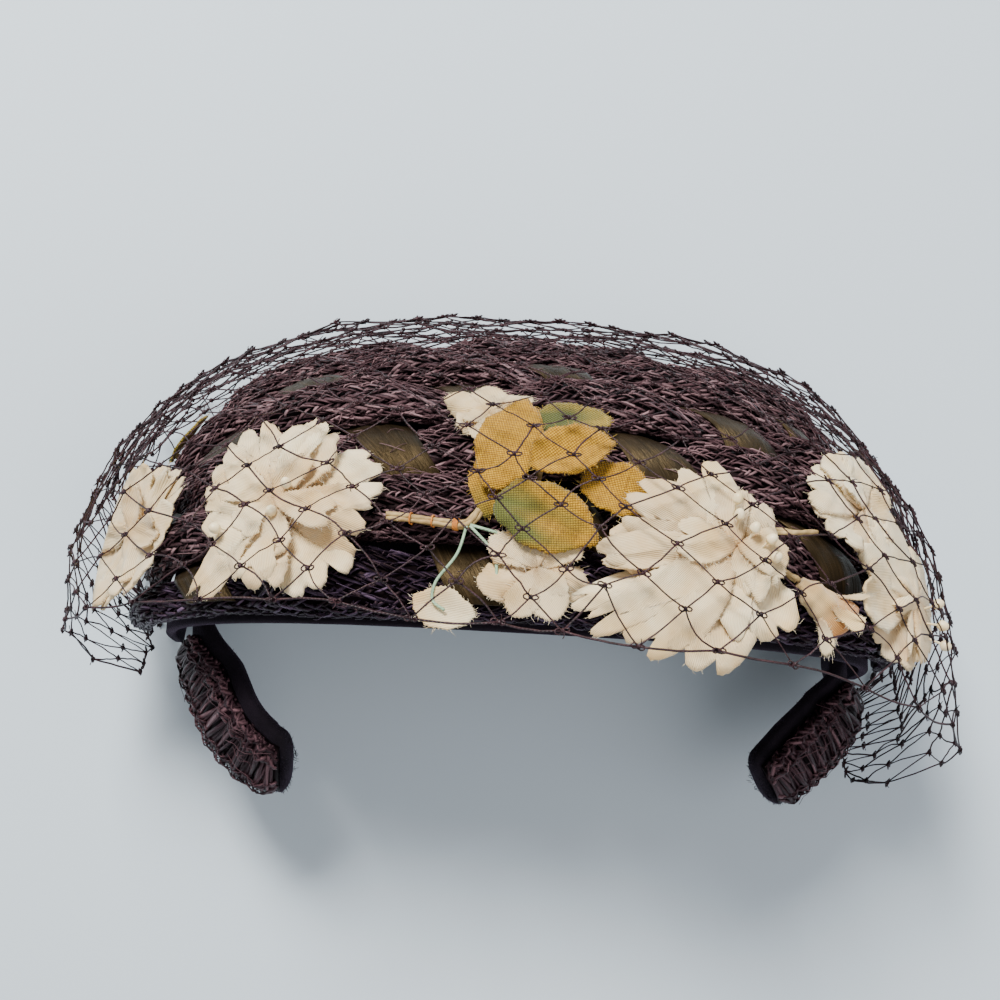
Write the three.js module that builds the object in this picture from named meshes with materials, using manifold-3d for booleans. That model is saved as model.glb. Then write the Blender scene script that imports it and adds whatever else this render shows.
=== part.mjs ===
// A half hat that sits on the front of the head: a quarter-round velvet cap, woven over with raffia
// cords and straw ribbons, with two arms that grip the head, cloth flowers, linen leaves and a veil.
//
// Millimetres. Z = 0 is the plane of the back rim, on which the hat lies. +Y is up when it is worn,
// +Z is the front of the worn hat, and +X is the side of the longer fall of the veil. The shapes are
// worked out round the middle of the head opening, and the whole hat is then moved so that the
// origin is the middle of the back rim, at the top of the worn hat.

import * as THREE from "three";
import { mergeVertices } from "three/addons/utils/BufferGeometryUtils.js";
import Module from "manifold-3d";

const wasm = await Module();
wasm.setup();

// Driving sizes

const HEAD = { halfWidth: 85.5, height: 73, depth: 66, squareness: 2.8 };
const CAP = { wall: 2.2, earAngle: 4, frontAngle: 88, archSteps: 21, turnSteps: 7 };
const GAP = 0.35;

const WEAVE = {
  rows: 7,
  cordEndAngle: 16,
  base: 0.75,
  cordHeight: 4.2,
  humpHeight: 6.8,
  pitchAngle: 20.4,
  firstAngle: 16.8,
  columns: 8,
  shear: 0.58,
  cordWidthShare: 0.82,
};
const RIBBON = { width: 14.5, thickness: 1, earAngle: 24 };

const ARM = { width: 19.5, thickness: 5, braidWidthShare: 0.86, braidHeight: 3.6, rungs: 9 };
const CLOTH = 1;

const VEIL = {
  reachRight: 105,
  reachLeft: 112,
  top: 86.5,
  front: 88,
  dropRight: 30,
  dropLeft: 11,
  tuckRight: 40,
  tuckLeft: 34,
  tuckAngle: 40,
  squareness: 2.85,
  fullness: 0.84,
  earAngle: 9,
  backAngle: 1.3,
  frontAngle: 81,
  columns: 13,
  rows: 4,
  strand: 1.5,
  thickness: 1,
};

const COLOURS = {
  velvet: 0x16121a,
  raffia: 0x4a3440,
  straw: 0x5f5142,
  petal: 0xe6d7b9,
  centre: 0xc98f45,
  leaf: 0xb59a3d,
  stem: 0xbda06a,
  net: 0x452c33,
};

// Where a point lies on the crown

const rad = THREE.MathUtils.degToRad;
const mix = THREE.MathUtils.lerp;

// The radius of a squared ellipse with half axes a and b, in the direction of an angle.
function squaredRadius(angle, a, b, squareness) {
  const across = Math.abs(Math.cos(angle) / a) ** squareness;
  const up = Math.abs(Math.sin(angle) / b) ** squareness;
  return (across + up) ** (-1 / squareness);
}

// A point at an angle along the arch from the +X ear, a turn from the back plane to the front,
// and a distance outside the cap's outer face.
function crown(archDeg, turnDeg, out = 0) {
  const arch = rad(archDeg);
  const turn = rad(turnDeg);
  const height = HEAD.height + out;
  const rho = squaredRadius(arch, HEAD.halfWidth + out, height, HEAD.squareness);
  const ring = rho * Math.sin(arch);
  const forward = (HEAD.depth + out) / height;
  return new THREE.Vector3(rho * Math.cos(arch), ring * Math.cos(turn), ring * Math.sin(turn) * forward);
}

// The factor that carries a point, away from the origin, to a distance outside the cap.
function factorTo(point, out) {
  const height = HEAD.height + out;
  const ring = Math.hypot(point.y, (point.z * height) / (HEAD.depth + out));
  const across = (Math.abs(point.x) / (HEAD.halfWidth + out)) ** HEAD.squareness;
  const up = (ring / height) ** HEAD.squareness;
  return (across + up) ** (-1 / HEAD.squareness);
}

// Keeps a point between two distances outside the cap.
function between(point, lowest, highest) {
  const low = factorTo(point, lowest);
  if (low > 1) return point.clone().multiplyScalar(low);
  const high = factorTo(point, highest);
  return high < 1 ? point.clone().multiplyScalar(high) : point.clone();
}

// A frame on the crown: its place, the direction along the arch to +X, the direction up the crown
// and the outward direction, which leans towards the front by a share.
function seat(archDeg, turnDeg, out, lean = 0) {
  const at = crown(archDeg, turnDeg, out);
  const along = crown(archDeg - 0.5, turnDeg, out).sub(crown(archDeg + 0.5, turnDeg, out));
  const back = crown(archDeg, turnDeg - 0.5, out).sub(crown(archDeg, turnDeg + 0.5, out));
  const outward = along.clone().cross(back).normalize();
  outward.lerp(new THREE.Vector3(0, 0, 1), lean).normalize();
  const up = new THREE.Vector3(0, 1, 0).addScaledVector(outward, -outward.y).normalize();
  const side = up.clone().cross(outward);
  return { at, side, up, outward };
}

// Solids

function geometryFrom(points, triangles) {
  const geometry = new THREE.BufferGeometry().setFromPoints(points);
  geometry.setIndex(triangles);
  return geometry;
}

function signedVolume(points, triangles) {
  let six = 0;
  for (let i = 0; i < triangles.length; i += 3) {
    const [a, b, c] = [points[triangles[i]], points[triangles[i + 1]], points[triangles[i + 2]]];
    six += a.dot(b.clone().cross(c));
  }
  return six / 6;
}

// A closed body from points and triangles, turned to face outwards.
function body(points, triangles) {
  if (signedVolume(points, triangles) < 0) triangles.reverse();
  return geometryFrom(points, triangles);
}

function quad(list, a, b, c, d) {
  list.push(a, b, c, a, c, d);
}

// A body through sections of the same even number of points. The first half of a section runs over
// its outer side and the second half runs back along its inner side.
function loft(sections) {
  const count = sections[0].length;
  const points = sections.flat();
  const triangles = [];
  for (let i = 0; i + 1 < sections.length; i++)
    for (let j = 0; j < count; j++) {
      const next = (j + 1) % count;
      quad(triangles, i * count + j, i * count + next, (i + 1) * count + next, (i + 1) * count + j);
    }
  const last = (sections.length - 1) * count;
  for (let j = 0; j + 1 < count / 2; j++) {
    quad(triangles, j, count - 1 - j, count - 2 - j, j + 1);
    quad(triangles, last + j, last + j + 1, last + count - 2 - j, last + count - 1 - j);
  }
  return body(points, triangles);
}

// A body through rounded sections, each closed in a loop.
function ridge(sections) {
  const count = sections[0].length;
  const points = sections.flat();
  const triangles = [];
  for (let i = 0; i + 1 < sections.length; i++)
    for (let j = 0; j < count; j++) {
      const next = (j + 1) % count;
      quad(triangles, i * count + j, i * count + next, (i + 1) * count + next, (i + 1) * count + j);
    }
  const last = (sections.length - 1) * count;
  for (let j = 1; j + 1 < count; j++) {
    triangles.push(0, j + 1, j);
    triangles.push(last, last + j, last + j + 1);
  }
  return body(points, triangles);
}

const ROD_SIDES = 5;

// A turned body along a direction, from rows of places along it and radii.
function rod(foot, direction, profile) {
  const across = new THREE.Vector3(1, 0, 0).cross(direction).normalize();
  const other = across.clone().cross(direction);
  const sections = profile.map(({ along, radius }) =>
    Array.from({ length: ROD_SIDES }, (_, k) =>
      foot
        .clone()
        .addScaledVector(direction, along)
        .addScaledVector(across, radius * Math.cos((2 * Math.PI * k) / ROD_SIDES))
        .addScaledVector(other, radius * Math.sin((2 * Math.PI * k) / ROD_SIDES)),
    ),
  );
  return ridge(sections);
}

function toManifold(geometry) {
  const bare = geometry.clone();
  bare.deleteAttribute("normal");
  bare.deleteAttribute("uv");
  const merged = mergeVertices(bare, 1e-4);
  return new wasm.Manifold(
    new wasm.Mesh({
      numProp: 3,
      vertProperties: new Float32Array(merged.attributes.position.array),
      triVerts: new Uint32Array(merged.index.array),
    }),
  );
}

function fromManifold(manifold) {
  const mesh = manifold.getMesh();
  const geometry = new THREE.BufferGeometry();
  geometry.setAttribute("position", new THREE.BufferAttribute(new Float32Array(mesh.vertProperties), 3));
  geometry.setIndex(Array.from(mesh.triVerts));
  return geometry;
}

function fuse(geometries) {
  return fromManifold(geometries.map(toManifold).reduce((sum, part) => sum.add(part)));
}

// Cuts the room of other pieces out of a piece and keeps what is left in one.
function cutClear(geometry, rooms) {
  let kept = toManifold(geometry);
  for (const room of rooms) kept = kept.subtract(toManifold(room));
  const bodies = kept.decompose();
  bodies.sort((a, b) => b.volume() - a.volume());
  return fromManifold(bodies[0]);
}

// Cap

function capSection(archDeg) {
  const turns = Array.from({ length: CAP.turnSteps + 1 }, (_, j) => (CAP.frontAngle * j) / CAP.turnSteps);
  const outer = turns.map((turn) => crown(archDeg, turn));
  const inner = turns.map((turn) => crown(archDeg, turn, -CAP.wall));
  return [...outer, ...inner.reverse()];
}

function velvetCap() {
  const span = 180 - 2 * CAP.earAngle;
  const sections = Array.from({ length: CAP.archSteps + 1 }, (_, i) =>
    capSection(CAP.earAngle + (span * i) / CAP.archSteps),
  );
  return loft(sections);
}

// Woven cords and ribbons

const ROW_TURN = CAP.frontAngle / WEAVE.rows;
const MIDDLE_TURN = CAP.frontAngle / 2;

// The angle along the arch of a place counted in ribbon columns, which slant across the rows.
function archOf(column, turnDeg) {
  const straight = WEAVE.firstAngle + WEAVE.pitchAngle * column;
  return straight - WEAVE.shear * (turnDeg - MIDDLE_TURN);
}

function columnOf(archDeg, turnDeg) {
  return (archDeg + WEAVE.shear * (turnDeg - MIDDLE_TURN) - WEAVE.firstAngle) / WEAVE.pitchAngle;
}

// Cords grow thinner towards the ears, where the rows draw together.
function plumpness(archDeg) {
  return mix(0.62, 1, Math.min(1, Math.sin(rad(archDeg)) / 0.75));
}

// The top of a cord's section: how far across and how high, as shares of its width and height.
const CORD_PROFILE = [
  { across: -1, high: 0.4 },
  { across: -0.6, high: 0.86 },
  { across: 0, high: 1 },
  { across: 0.6, high: 0.86 },
  { across: 1, high: 0.4 },
];

// How far a cord is lifted over a ribbon: 0 under the ribbon of its own row, 1 over the next one.
function lift(row, column) {
  const phase = Math.abs(((((column + row) % 2) + 2) % 2) - 1);
  return THREE.MathUtils.smoothstep(phase, 0.24, 0.76);
}

const RIBBON_ROOM = RIBBON.thickness + 2 * GAP;

function cordSection(row, archDeg) {
  const middle = ROW_TURN * (row + 0.5);
  const half = (ROW_TURN / 2) * WEAVE.cordWidthShare;
  const raised = lift(row, columnOf(archDeg, middle));
  const full = plumpness(archDeg);
  const floor = WEAVE.base + RIBBON_ROOM * raised;
  const height = mix(WEAVE.cordHeight, WEAVE.humpHeight, raised) * full;
  const place = ({ across }, share) => {
    const turn = middle + across * half;
    return crown(archDeg - WEAVE.shear * across * half * full, turn, floor + height * share);
  };
  const top = CORD_PROFILE.map((row) => place(row, row.high));
  return [...top, place({ across: 0 }, 0)];
}

function raffiaCord(row) {
  const middle = ROW_TURN * (row + 0.5);
  const stops = [-0.26, 0, 0.26, 0.5];
  const arches = [WEAVE.cordEndAngle, 180 - WEAVE.cordEndAngle];
  for (let column = -3; column < WEAVE.columns + 3; column++)
    for (const stop of stops) {
      const arch = archOf(column + stop, middle);
      if (arch > WEAVE.cordEndAngle + 2 && arch < 180 - WEAVE.cordEndAngle - 2) arches.push(arch);
    }
  arches.sort((a, b) => a - b);
  return ridge(arches.map((arch) => cordSection(row, arch)));
}

// The ribbon's height over the cap: low under a lifted cord, high over a flat one.
function ribbonFloor(row, column, archDeg) {
  const low = WEAVE.base - GAP;
  const high = WEAVE.base + WEAVE.cordHeight * plumpness(archDeg) + GAP;
  return mix(high, low, lift(row, column));
}

function ribbonSection(column, turnDeg, floor) {
  const arch = archOf(column, turnDeg);
  const half = THREE.MathUtils.radToDeg(RIBBON.width / 2 / HEAD.halfWidth);
  const faces = [RIBBON.thickness, 0];
  const [outer, inner] = faces.map((above) =>
    [-half, 0, half].map((aside) => crown(arch + aside, turnDeg, floor + above)),
  );
  return [...outer, ...inner.reverse()];
}

function strawRibbon(column) {
  const sections = [];
  for (let row = 0; row < WEAVE.rows; row++)
    for (const stop of [-0.24, 0.24]) {
      const turn = ROW_TURN * (row + 0.5 + stop);
      const arch = archOf(column, turn);
      if (arch < RIBBON.earAngle || arch > 180 - RIBBON.earAngle) continue;
      sections.push(ribbonSection(column, turn, ribbonFloor(row, column, arch)));
    }
  return loft(sections);
}

// The share of a cord's height that it has at a place across it.
function profileAt(across) {
  const next = Math.max(1, CORD_PROFILE.findIndex((corner) => corner.across >= across));
  const [near, far] = [CORD_PROFILE[next - 1], CORD_PROFILE[next]];
  return mix(near.high, far.high, (across - near.across) / (far.across - near.across));
}

// How high the cords and ribbons stand over the cap at a place.
function coverHeight(archDeg, turnDeg) {
  const row = THREE.MathUtils.clamp(Math.floor(turnDeg / ROW_TURN), 0, WEAVE.rows - 1);
  const column = columnOf(archDeg, turnDeg);
  const raised = lift(row, column);
  const across = (2 * (turnDeg / ROW_TURN - row) - 1) / WEAVE.cordWidthShare;
  const share = profileAt(THREE.MathUtils.clamp(across, -1, 1));
  const cord = mix(WEAVE.cordHeight, WEAVE.humpHeight, raised) * plumpness(archDeg) * share;
  const ribbon = ribbonFloor(row, column, archDeg) + RIBBON.thickness;
  return Math.max(WEAVE.base + RIBBON_ROOM * raised + cord, ribbon);
}

// A point's angle along the arch and its turn to the front.
function anglesOf(point) {
  const level = (point.z * HEAD.height) / HEAD.depth;
  const ring = Math.hypot(point.y, level);
  return {
    arch: THREE.MathUtils.radToDeg(Math.atan2(ring, point.x)),
    turn: THREE.MathUtils.radToDeg(Math.atan2(level, point.y)),
  };
}

// Arms

// Stations down each arm: the place as shares of the head's half width, height and depth, the
// direction across the arm from its back edge to its front edge, and the width as a share.
const RIGHT_ARM = [
  { x: 0.912, y: 0.24, z: 0.21, wx: -0.08, wy: 0.25, wz: 0.96, width: 0.9 },
  { x: 0.9, y: 0.06, z: 0.28, wx: -0.1, wy: 0.25, wz: 0.96, width: 1 },
  { x: 0.9, y: -0.06, z: 0.325, wx: -0.35, wy: 0.4, wz: 0.85, width: 1 },
  { x: 0.855, y: -0.15, z: 0.365, wx: -0.56, wy: 0.5, wz: 0.66, width: 1 },
  { x: 0.755, y: -0.265, z: 0.425, wx: -0.5, wy: 0.58, wz: 0.64, width: 1 },
  { x: 0.665, y: -0.365, z: 0.455, wx: -0.5, wy: 0.58, wz: 0.64, width: 0.86 },
];
const LEFT_ARM = [
  { x: -0.908, y: 0.24, z: 0.21, wx: 0.08, wy: 0.25, wz: 0.96, width: 0.9 },
  { x: -0.895, y: 0.08, z: 0.265, wx: 0.1, wy: 0.25, wz: 0.96, width: 1 },
  { x: -0.87, y: -0.045, z: 0.31, wx: 0.4, wy: 0.3, wz: 0.86, width: 1 },
  { x: -0.81, y: -0.15, z: 0.365, wx: 0.6, wy: 0.35, wz: 0.72, width: 1 },
  { x: -0.74, y: -0.275, z: 0.425, wx: 0.5, wy: 0.52, wz: 0.69, width: 1 },
  { x: -0.66, y: -0.35, z: 0.45, wx: 0.35, wy: 0.61, wz: 0.71, width: 1 },
  { x: -0.59, y: -0.38, z: 0.475, wx: 0.15, wy: 0.68, wz: 0.71, width: 0.9 },
];

// The arm's course: its place, its direction across, its outward direction and its half width.
function armCourse(stations) {
  const places = stations.map(
    (row) => new THREE.Vector3(row.x * HEAD.halfWidth, row.y * HEAD.height, row.z * HEAD.depth),
  );
  const across = stations.map((row) => new THREE.Vector3(row.wx, row.wy, row.wz).normalize());
  const path = new THREE.CatmullRomCurve3(places);
  return (share) => {
    const at = path.getPoint(share);
    const tangent = path.getTangent(share);
    const spot = share * (stations.length - 1);
    const index = Math.min(Math.floor(spot), stations.length - 2);
    const side = across[index].clone().lerp(across[index + 1], spot - index);
    side.addScaledVector(tangent, -side.dot(tangent)).normalize();
    const outward = side.clone().cross(tangent).normalize();
    if (outward.dot(new THREE.Vector3(at.x, 0, at.z)) < 0) outward.negate();
    const width = mix(stations[index].width, stations[index + 1].width, spot - index);
    return { at, side, outward, half: (ARM.width / 2) * width };
  };
}

const ARM_PROFILE = [
  { across: -1, out: 0.3 },
  { across: -0.8, out: 1 },
  { across: 0.8, out: 1 },
  { across: 1, out: 0.3 },
  { across: 1, out: -0.3 },
  { across: 0.8, out: -1 },
  { across: -0.8, out: -1 },
  { across: -1, out: -0.3 },
];
const ROUND_END = [
  { share: 0.955, fill: 1 },
  { share: 0.985, fill: 0.8 },
  { share: 1, fill: 0.45 },
];
const ARM_SHARES = [0, 0.1, 0.2, 0.3, 0.4, 0.5, 0.6, 0.7, 0.8, 0.88];

function velvetArm(stations) {
  const course = armCourse(stations);
  const section = (share, fill) => {
    const { at, side, outward, half } = course(share);
    return ARM_PROFILE.map((corner) =>
      at
        .clone()
        .addScaledVector(side, corner.across * half * fill)
        .addScaledVector(outward, (corner.out * ARM.thickness * fill) / 2),
    );
  };
  return loft([
    ...ARM_SHARES.map((share) => section(share, 1)),
    ...ROUND_END.map(({ share, fill }) => section(share, fill)),
  ]);
}

const BRAID_PROFILE = [
  { across: -1, out: 0.25 },
  { across: -0.6, out: 0.85 },
  { across: 0, out: 1 },
  { across: 0.6, out: 0.85 },
  { across: 1, out: 0.25 },
  { across: 1, out: 0 },
  { across: 0, out: 0 },
  { across: -1, out: 0 },
];

// The raffia braid on an arm's outer face, with a rung at every second section.
function armBraid(stations, start) {
  const course = armCourse(stations);
  const steps = 2 * ARM.rungs;
  const sections = [];
  for (let i = 0; i <= steps; i++) {
    const { at, side, outward, half } = course(mix(start, 0.97, i / steps));
    const height = ARM.braidHeight * (i % 2 ? 1 : 0.72);
    const floor = ARM.thickness / 2 + GAP;
    const width = half * ARM.braidWidthShare * (i === steps ? 0.7 : 1);
    sections.push(
      BRAID_PROFILE.map((corner) =>
        at
          .clone()
          .addScaledVector(side, corner.across * width)
          .addScaledVector(outward, floor + corner.out * height),
      ),
    );
  }
  return ridge(sections);
}

// Flowers

// Each flower's seat on the crown, how far it leans to the front, its size, its petals, the lowest
// and highest it may lie over the cap, its cup, and the stamens in its middle.
const FLOWERS = [
  { name: "flower_left_side", arch: 151.5, turn: 62, out: 12, lean: 0.5, radius: 18, petals: 6,
    spin: 20, cup: 2, low: 9.8, high: 17, stamens: 0 },
  { name: "flower_left_front", arch: 121.8, turn: 70.5, out: 12.5, lean: 0.2, radius: 22, petals: 8,
    spin: 8, cup: 2, low: 10, high: 17, stamens: 3 },
  { name: "flower_top", arch: 96.5, turn: 52.5, out: 10.5, lean: 0.2, radius: 10.5, petals: 6,
    spin: 0, cup: 1.5, low: 9.3, high: 14, stamens: 0 },
  { name: "flower_small_front", arch: 88.5, turn: 80.5, out: 11, lean: 0.1, radius: 11.8, petals: 7,
    spin: 15, cup: 1.6, low: 9.6, high: 15, stamens: 0 },
  { name: "flower_right_front", arch: 67.8, turn: 79, out: 12.5, lean: 0.1, radius: 22, petals: 8,
    spin: 30, cup: 2.2, low: 9.8, high: 17, stamens: 3 },
  { name: "flower_right_upper", arch: 43, turn: 57, out: 11, lean: 0.25, radius: 14, petals: 6,
    spin: 12, cup: 1.6, low: 9.8, high: 14.5, stamens: 0 },
  { name: "flower_right_side", arch: 34.5, turn: 74, out: 11.5, lean: 0.5, radius: 16, petals: 6,
    spin: 40, cup: 2, low: 9.8, high: 15, stamens: 3 },
];

// One petal's edge over its four sectors, as shares of the flower's radius.
const PETAL_EDGE = [0.7, 0.96, 1, 0.94];
const RINGS = [0.5, 1];

// A point of the flower's cloth: how far out and round it lies, with room added on every side.
function petalPoint(flower, ring, sector, above, room) {
  const { at, side, up, outward } = seat(flower.arch, flower.turn, flower.out, flower.lean);
  const sectors = flower.petals * PETAL_EDGE.length;
  const angle = rad(flower.spin) + (2 * Math.PI * sector) / sectors;
  const edge = PETAL_EDGE[sector % PETAL_EDGE.length];
  const uneven = 1 + 0.06 * Math.sin(2 * angle + flower.arch) + 0.04 * Math.sin(3 * angle);
  const reach = flower.radius * mix(1, edge, ring) * ring * uneven + room * ring;
  const ruffle = 0.9 * ring * Math.sin(flower.petals * angle - rad(flower.spin));
  const height = flower.cup * ring * ring + ruffle + above;
  const flat = at
    .clone()
    .addScaledVector(side, reach * Math.cos(angle))
    .addScaledVector(up, reach * Math.sin(angle))
    .addScaledVector(outward, height);
  return between(flat, flower.low + above, flower.high + above);
}

function corolla(flower, room = 0) {
  const sectors = flower.petals * PETAL_EDGE.length;
  const points = [];
  const triangles = [];
  const faces = [CLOTH + room, -room];
  for (const above of faces) {
    points.push(petalPoint(flower, 0, 0, above, room));
    for (const ring of RINGS)
      for (let s = 0; s < sectors; s++) points.push(petalPoint(flower, ring, s, above, room));
  }
  const face = 1 + RINGS.length * sectors;
  const index = (side, ring, s) => side * face + 1 + ring * sectors + (s % sectors);
  for (let s = 0; s < sectors; s++) {
    triangles.push(0, index(0, 0, s), index(0, 0, s + 1));
    triangles.push(face, index(1, 0, s + 1), index(1, 0, s));
    for (let r = 0; r + 1 < RINGS.length; r++) {
      quad(triangles, index(0, r, s), index(0, r + 1, s), index(0, r + 1, s + 1), index(0, r, s + 1));
      quad(triangles, index(1, r, s + 1), index(1, r + 1, s + 1), index(1, r + 1, s), index(1, r, s));
    }
    const rim = RINGS.length - 1;
    quad(triangles, index(0, rim, s), index(1, rim, s), index(1, rim, s + 1), index(0, rim, s + 1));
  }
  return body(points, triangles);
}

const STAMEN_PROFILE = [
  { along: -0.6, radius: 0.5 },
  { along: 2.8, radius: 1.1 },
  { along: 4, radius: 0.6 },
];

function stamen(flower, number) {
  const { at, side, up, outward } = seat(flower.arch, flower.turn, flower.out, flower.lean);
  const angle = rad(110 * number + 40);
  const foot = at
    .clone()
    .addScaledVector(side, 2.6 * Math.cos(angle))
    .addScaledVector(up, 2.6 * Math.sin(angle))
    .addScaledVector(outward, CLOTH);
  const lean = outward.clone().addScaledVector(side, 0.5 * Math.cos(angle));
  lean.addScaledVector(up, 0.5 * Math.sin(angle)).normalize();
  return rod(foot, lean, STAMEN_PROFILE);
}

const STALK_RADIUS = 1;
const STALK_GAP = 0.55;

// The short stalk that holds a flower or leaf on the weave, from under a point of it.
function stalk(point, room) {
  const { arch, turn } = anglesOf(point);
  const down = factorTo(point, coverHeight(arch, turn) + STALK_GAP - room);
  const foot = point.clone().multiplyScalar(down);
  const direction = point.clone().sub(foot);
  const length = direction.length();
  return rod(foot, direction.normalize(), [
    { along: 0, radius: STALK_RADIUS / 2 + room },
    { along: length + CLOTH / 2, radius: STALK_RADIUS + room },
  ]);
}

function flowerBody(flower, room) {
  const count = room ? 0 : flower.stamens;
  const stamens = Array.from({ length: count }, (_, i) => stamen(flower, i));
  const middle = crown(flower.arch, flower.turn, flower.out);
  return fuse([corolla(flower, room), stalk(middle, room), ...stamens]);
}

// Leaves and the loose petal

// Each leaf's seat, the direction of its tip round the outward axis, its size, the lowest it lies
// over the cap, and how far its two halves fold up from the midrib.
const LEAVES = [
  { name: "leaf_behind", arch: 84, turn: 53.5, low: 9.4, tip: 15, length: 18, width: 12, fold: 0.1 },
  { name: "leaf_small", arch: 96, turn: 66, low: 9.4, tip: 96, length: 17, width: 8, fold: 0.1 },
  { name: "leaf_right", arch: 77.5, turn: 67, low: 11, tip: -28, length: 17, width: 12.5, fold: 0.15 },
  { name: "leaf_up", arch: 93, turn: 59.8, low: 12.2, tip: 76, length: 26.5, width: 13.5, fold: 0.12 },
  { name: "leaf_low", arch: 87.5, turn: 72.8, low: 12.6, tip: -22, length: 23, width: 15, fold: 0.12 },
  { name: "leaf_folded", arch: 84.5, turn: 62.5, low: 14.4, tip: 22, length: 19, width: 12, fold: 0.25 },
  { name: "leaf_dark", arch: 147, turn: 25, low: 9.6, tip: 100, length: 15, width: 8, fold: 0.15 },
];
const LOOSE_PETAL = { name: "petal_loose", arch: 101, turn: 86, low: 9.4, tip: -12, length: 13,
  width: 8.5, fold: 0.08 };

// Half the leaf's width along its length, both as shares.
const LEAF_OUTLINE = [
  { along: -0.5, half: 0.12 },
  { along: -0.36, half: 0.34 },
  { along: -0.12, half: 0.5 },
  { along: 0.14, half: 0.46 },
  { along: 0.36, half: 0.26 },
  { along: 0.5, half: 0.05 },
];

// Where a leaf's stalk stands, as a share of its length from its middle.
const STALK_PLACE = -0.36;

function leafBody(leaf, room = 0) {
  const { at, side, up, outward } = seat(leaf.arch, leaf.turn, leaf.low);
  const tip = side.clone().multiplyScalar(Math.cos(rad(leaf.tip)));
  tip.addScaledVector(up, Math.sin(rad(leaf.tip)));
  const across = outward.clone().cross(tip);
  const point = (along, aside, above) => {
    const fold = leaf.fold * Math.abs(aside);
    const flat = at
      .clone()
      .addScaledVector(tip, along)
      .addScaledVector(across, aside)
      .addScaledVector(outward, above);
    const lowest = leaf.low + fold + above;
    return between(flat, lowest, lowest);
  };
  const sections = LEAF_OUTLINE.map((row, i) => {
    const end = i === 0 ? -1 : i === LEAF_OUTLINE.length - 1 ? 1 : 0;
    const along = row.along * leaf.length + end * room;
    const half = row.half * leaf.width + room;
    const outer = [-half, 0, half].map((aside) => point(along, aside, CLOTH + room));
    const inner = [half, 0, -half].map((aside) => point(along, aside, -room));
    return [...outer, ...inner];
  });
  return fuse([loft(sections), stalk(point(STALK_PLACE * leaf.length, 0, 0), room)]);
}

// Stems and the bud

// Each stem's course over the crown, from the flower or leaf at one end to that at the other.
const STEMS = [
  {
    name: "stem_left",
    course: [
      { arch: 109.5, turn: 72.5, out: 10.4 },
      { arch: 104, turn: 73.2, out: 10.4 },
      { arch: 98.5, turn: 73.5, out: 10.6 },
      { arch: 96.8, turn: 71.5, out: 10.9 },
    ],
  },
  {
    name: "stem_right",
    course: [
      { arch: 60.5, turn: 70.8, out: 10.3 },
      { arch: 55, turn: 69.5, out: 10.3 },
      { arch: 50, turn: 68, out: 10.3 },
    ],
  },
  {
    name: "stem_bud",
    course: [
      { arch: 58.5, turn: 74, out: 10.4 },
      { arch: 56.5, turn: 75.4, out: 10.7 },
      { arch: 54.8, turn: 76.8, out: 10.9 },
      { arch: 53.6, turn: 77.8, out: 11.2 },
    ],
  },
];

const STEM = { radius: 1.1, steps: 6, sides: 6 };

function stemBody(stem, room = 0) {
  const places = stem.course.map(({ arch, turn, out }) => crown(arch, turn, out));
  const path = new THREE.CatmullRomCurve3(places);
  const tube = new THREE.TubeGeometry(path, STEM.steps, STEM.radius + room, STEM.sides, false);
  const sections = [];
  for (let i = 0; i <= STEM.steps; i++)
    sections.push(
      Array.from({ length: STEM.sides }, (_, k) =>
        new THREE.Vector3().fromBufferAttribute(tube.attributes.position, i * (STEM.sides + 1) + k),
      ),
    );
  return ridge(sections);
}

const BUD = { arch: 50.5, turn: 80.5, out: 11.2, tipX: 0.62, tipY: -0.5 };
const BUD_PROFILE = [
  { along: -6, radius: 1.2 },
  { along: -2.5, radius: 3.1 },
  { along: 2, radius: 3.6 },
  { along: 6.5, radius: 5.2 },
  { along: 7.2, radius: 3.6 },
];

function budBody(room = 0) {
  const { at, side, up } = seat(BUD.arch, BUD.turn, BUD.out);
  const direction = side.multiplyScalar(BUD.tipX).addScaledVector(up, BUD.tipY).normalize();
  const profile = BUD_PROFILE.map(({ along, radius }) => ({
    along: along + Math.sign(along) * room,
    radius: radius + room,
  }));
  return rod(at, direction, profile);
}

// Veil

function veilPoint(archDeg, turnDeg, out) {
  const arch = rad(archDeg);
  const turn = rad(turnDeg);
  const left = (1 - Math.cos(arch)) / 2;
  const drop = mix(VEIL.dropRight, VEIL.dropLeft, left);
  const reach = mix(VEIL.reachRight, VEIL.reachLeft, left) + out;
  const height = VEIL.top + drop + out;
  const rho = squaredRadius(arch, reach, height, VEIL.squareness);
  const ring = rho * Math.sin(arch);
  const fromEar = Math.min(archDeg, 180 - archDeg);
  const tuck = mix(VEIL.tuckRight, -VEIL.tuckLeft, left) * Math.max(0, 1 - fromEar / VEIL.tuckAngle) ** 2;
  const forward = (VEIL.front + out) / height;
  return new THREE.Vector3(
    rho * Math.cos(arch) - tuck,
    ring * Math.cos(turn) ** VEIL.fullness - drop,
    ring * Math.sin(turn) ** VEIL.fullness * forward,
  );
}

// The back hem is drawn in against the woven rim.
function hemPoint(archDeg, out) {
  const free = veilPoint(archDeg, VEIL.backAngle, out);
  const snug = WEAVE.base + RIBBON_ROOM + WEAVE.humpHeight + GAP + VEIL.thickness / 2 + out;
  return between(free, -HEAD.height, Math.max(snug, 0));
}

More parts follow.
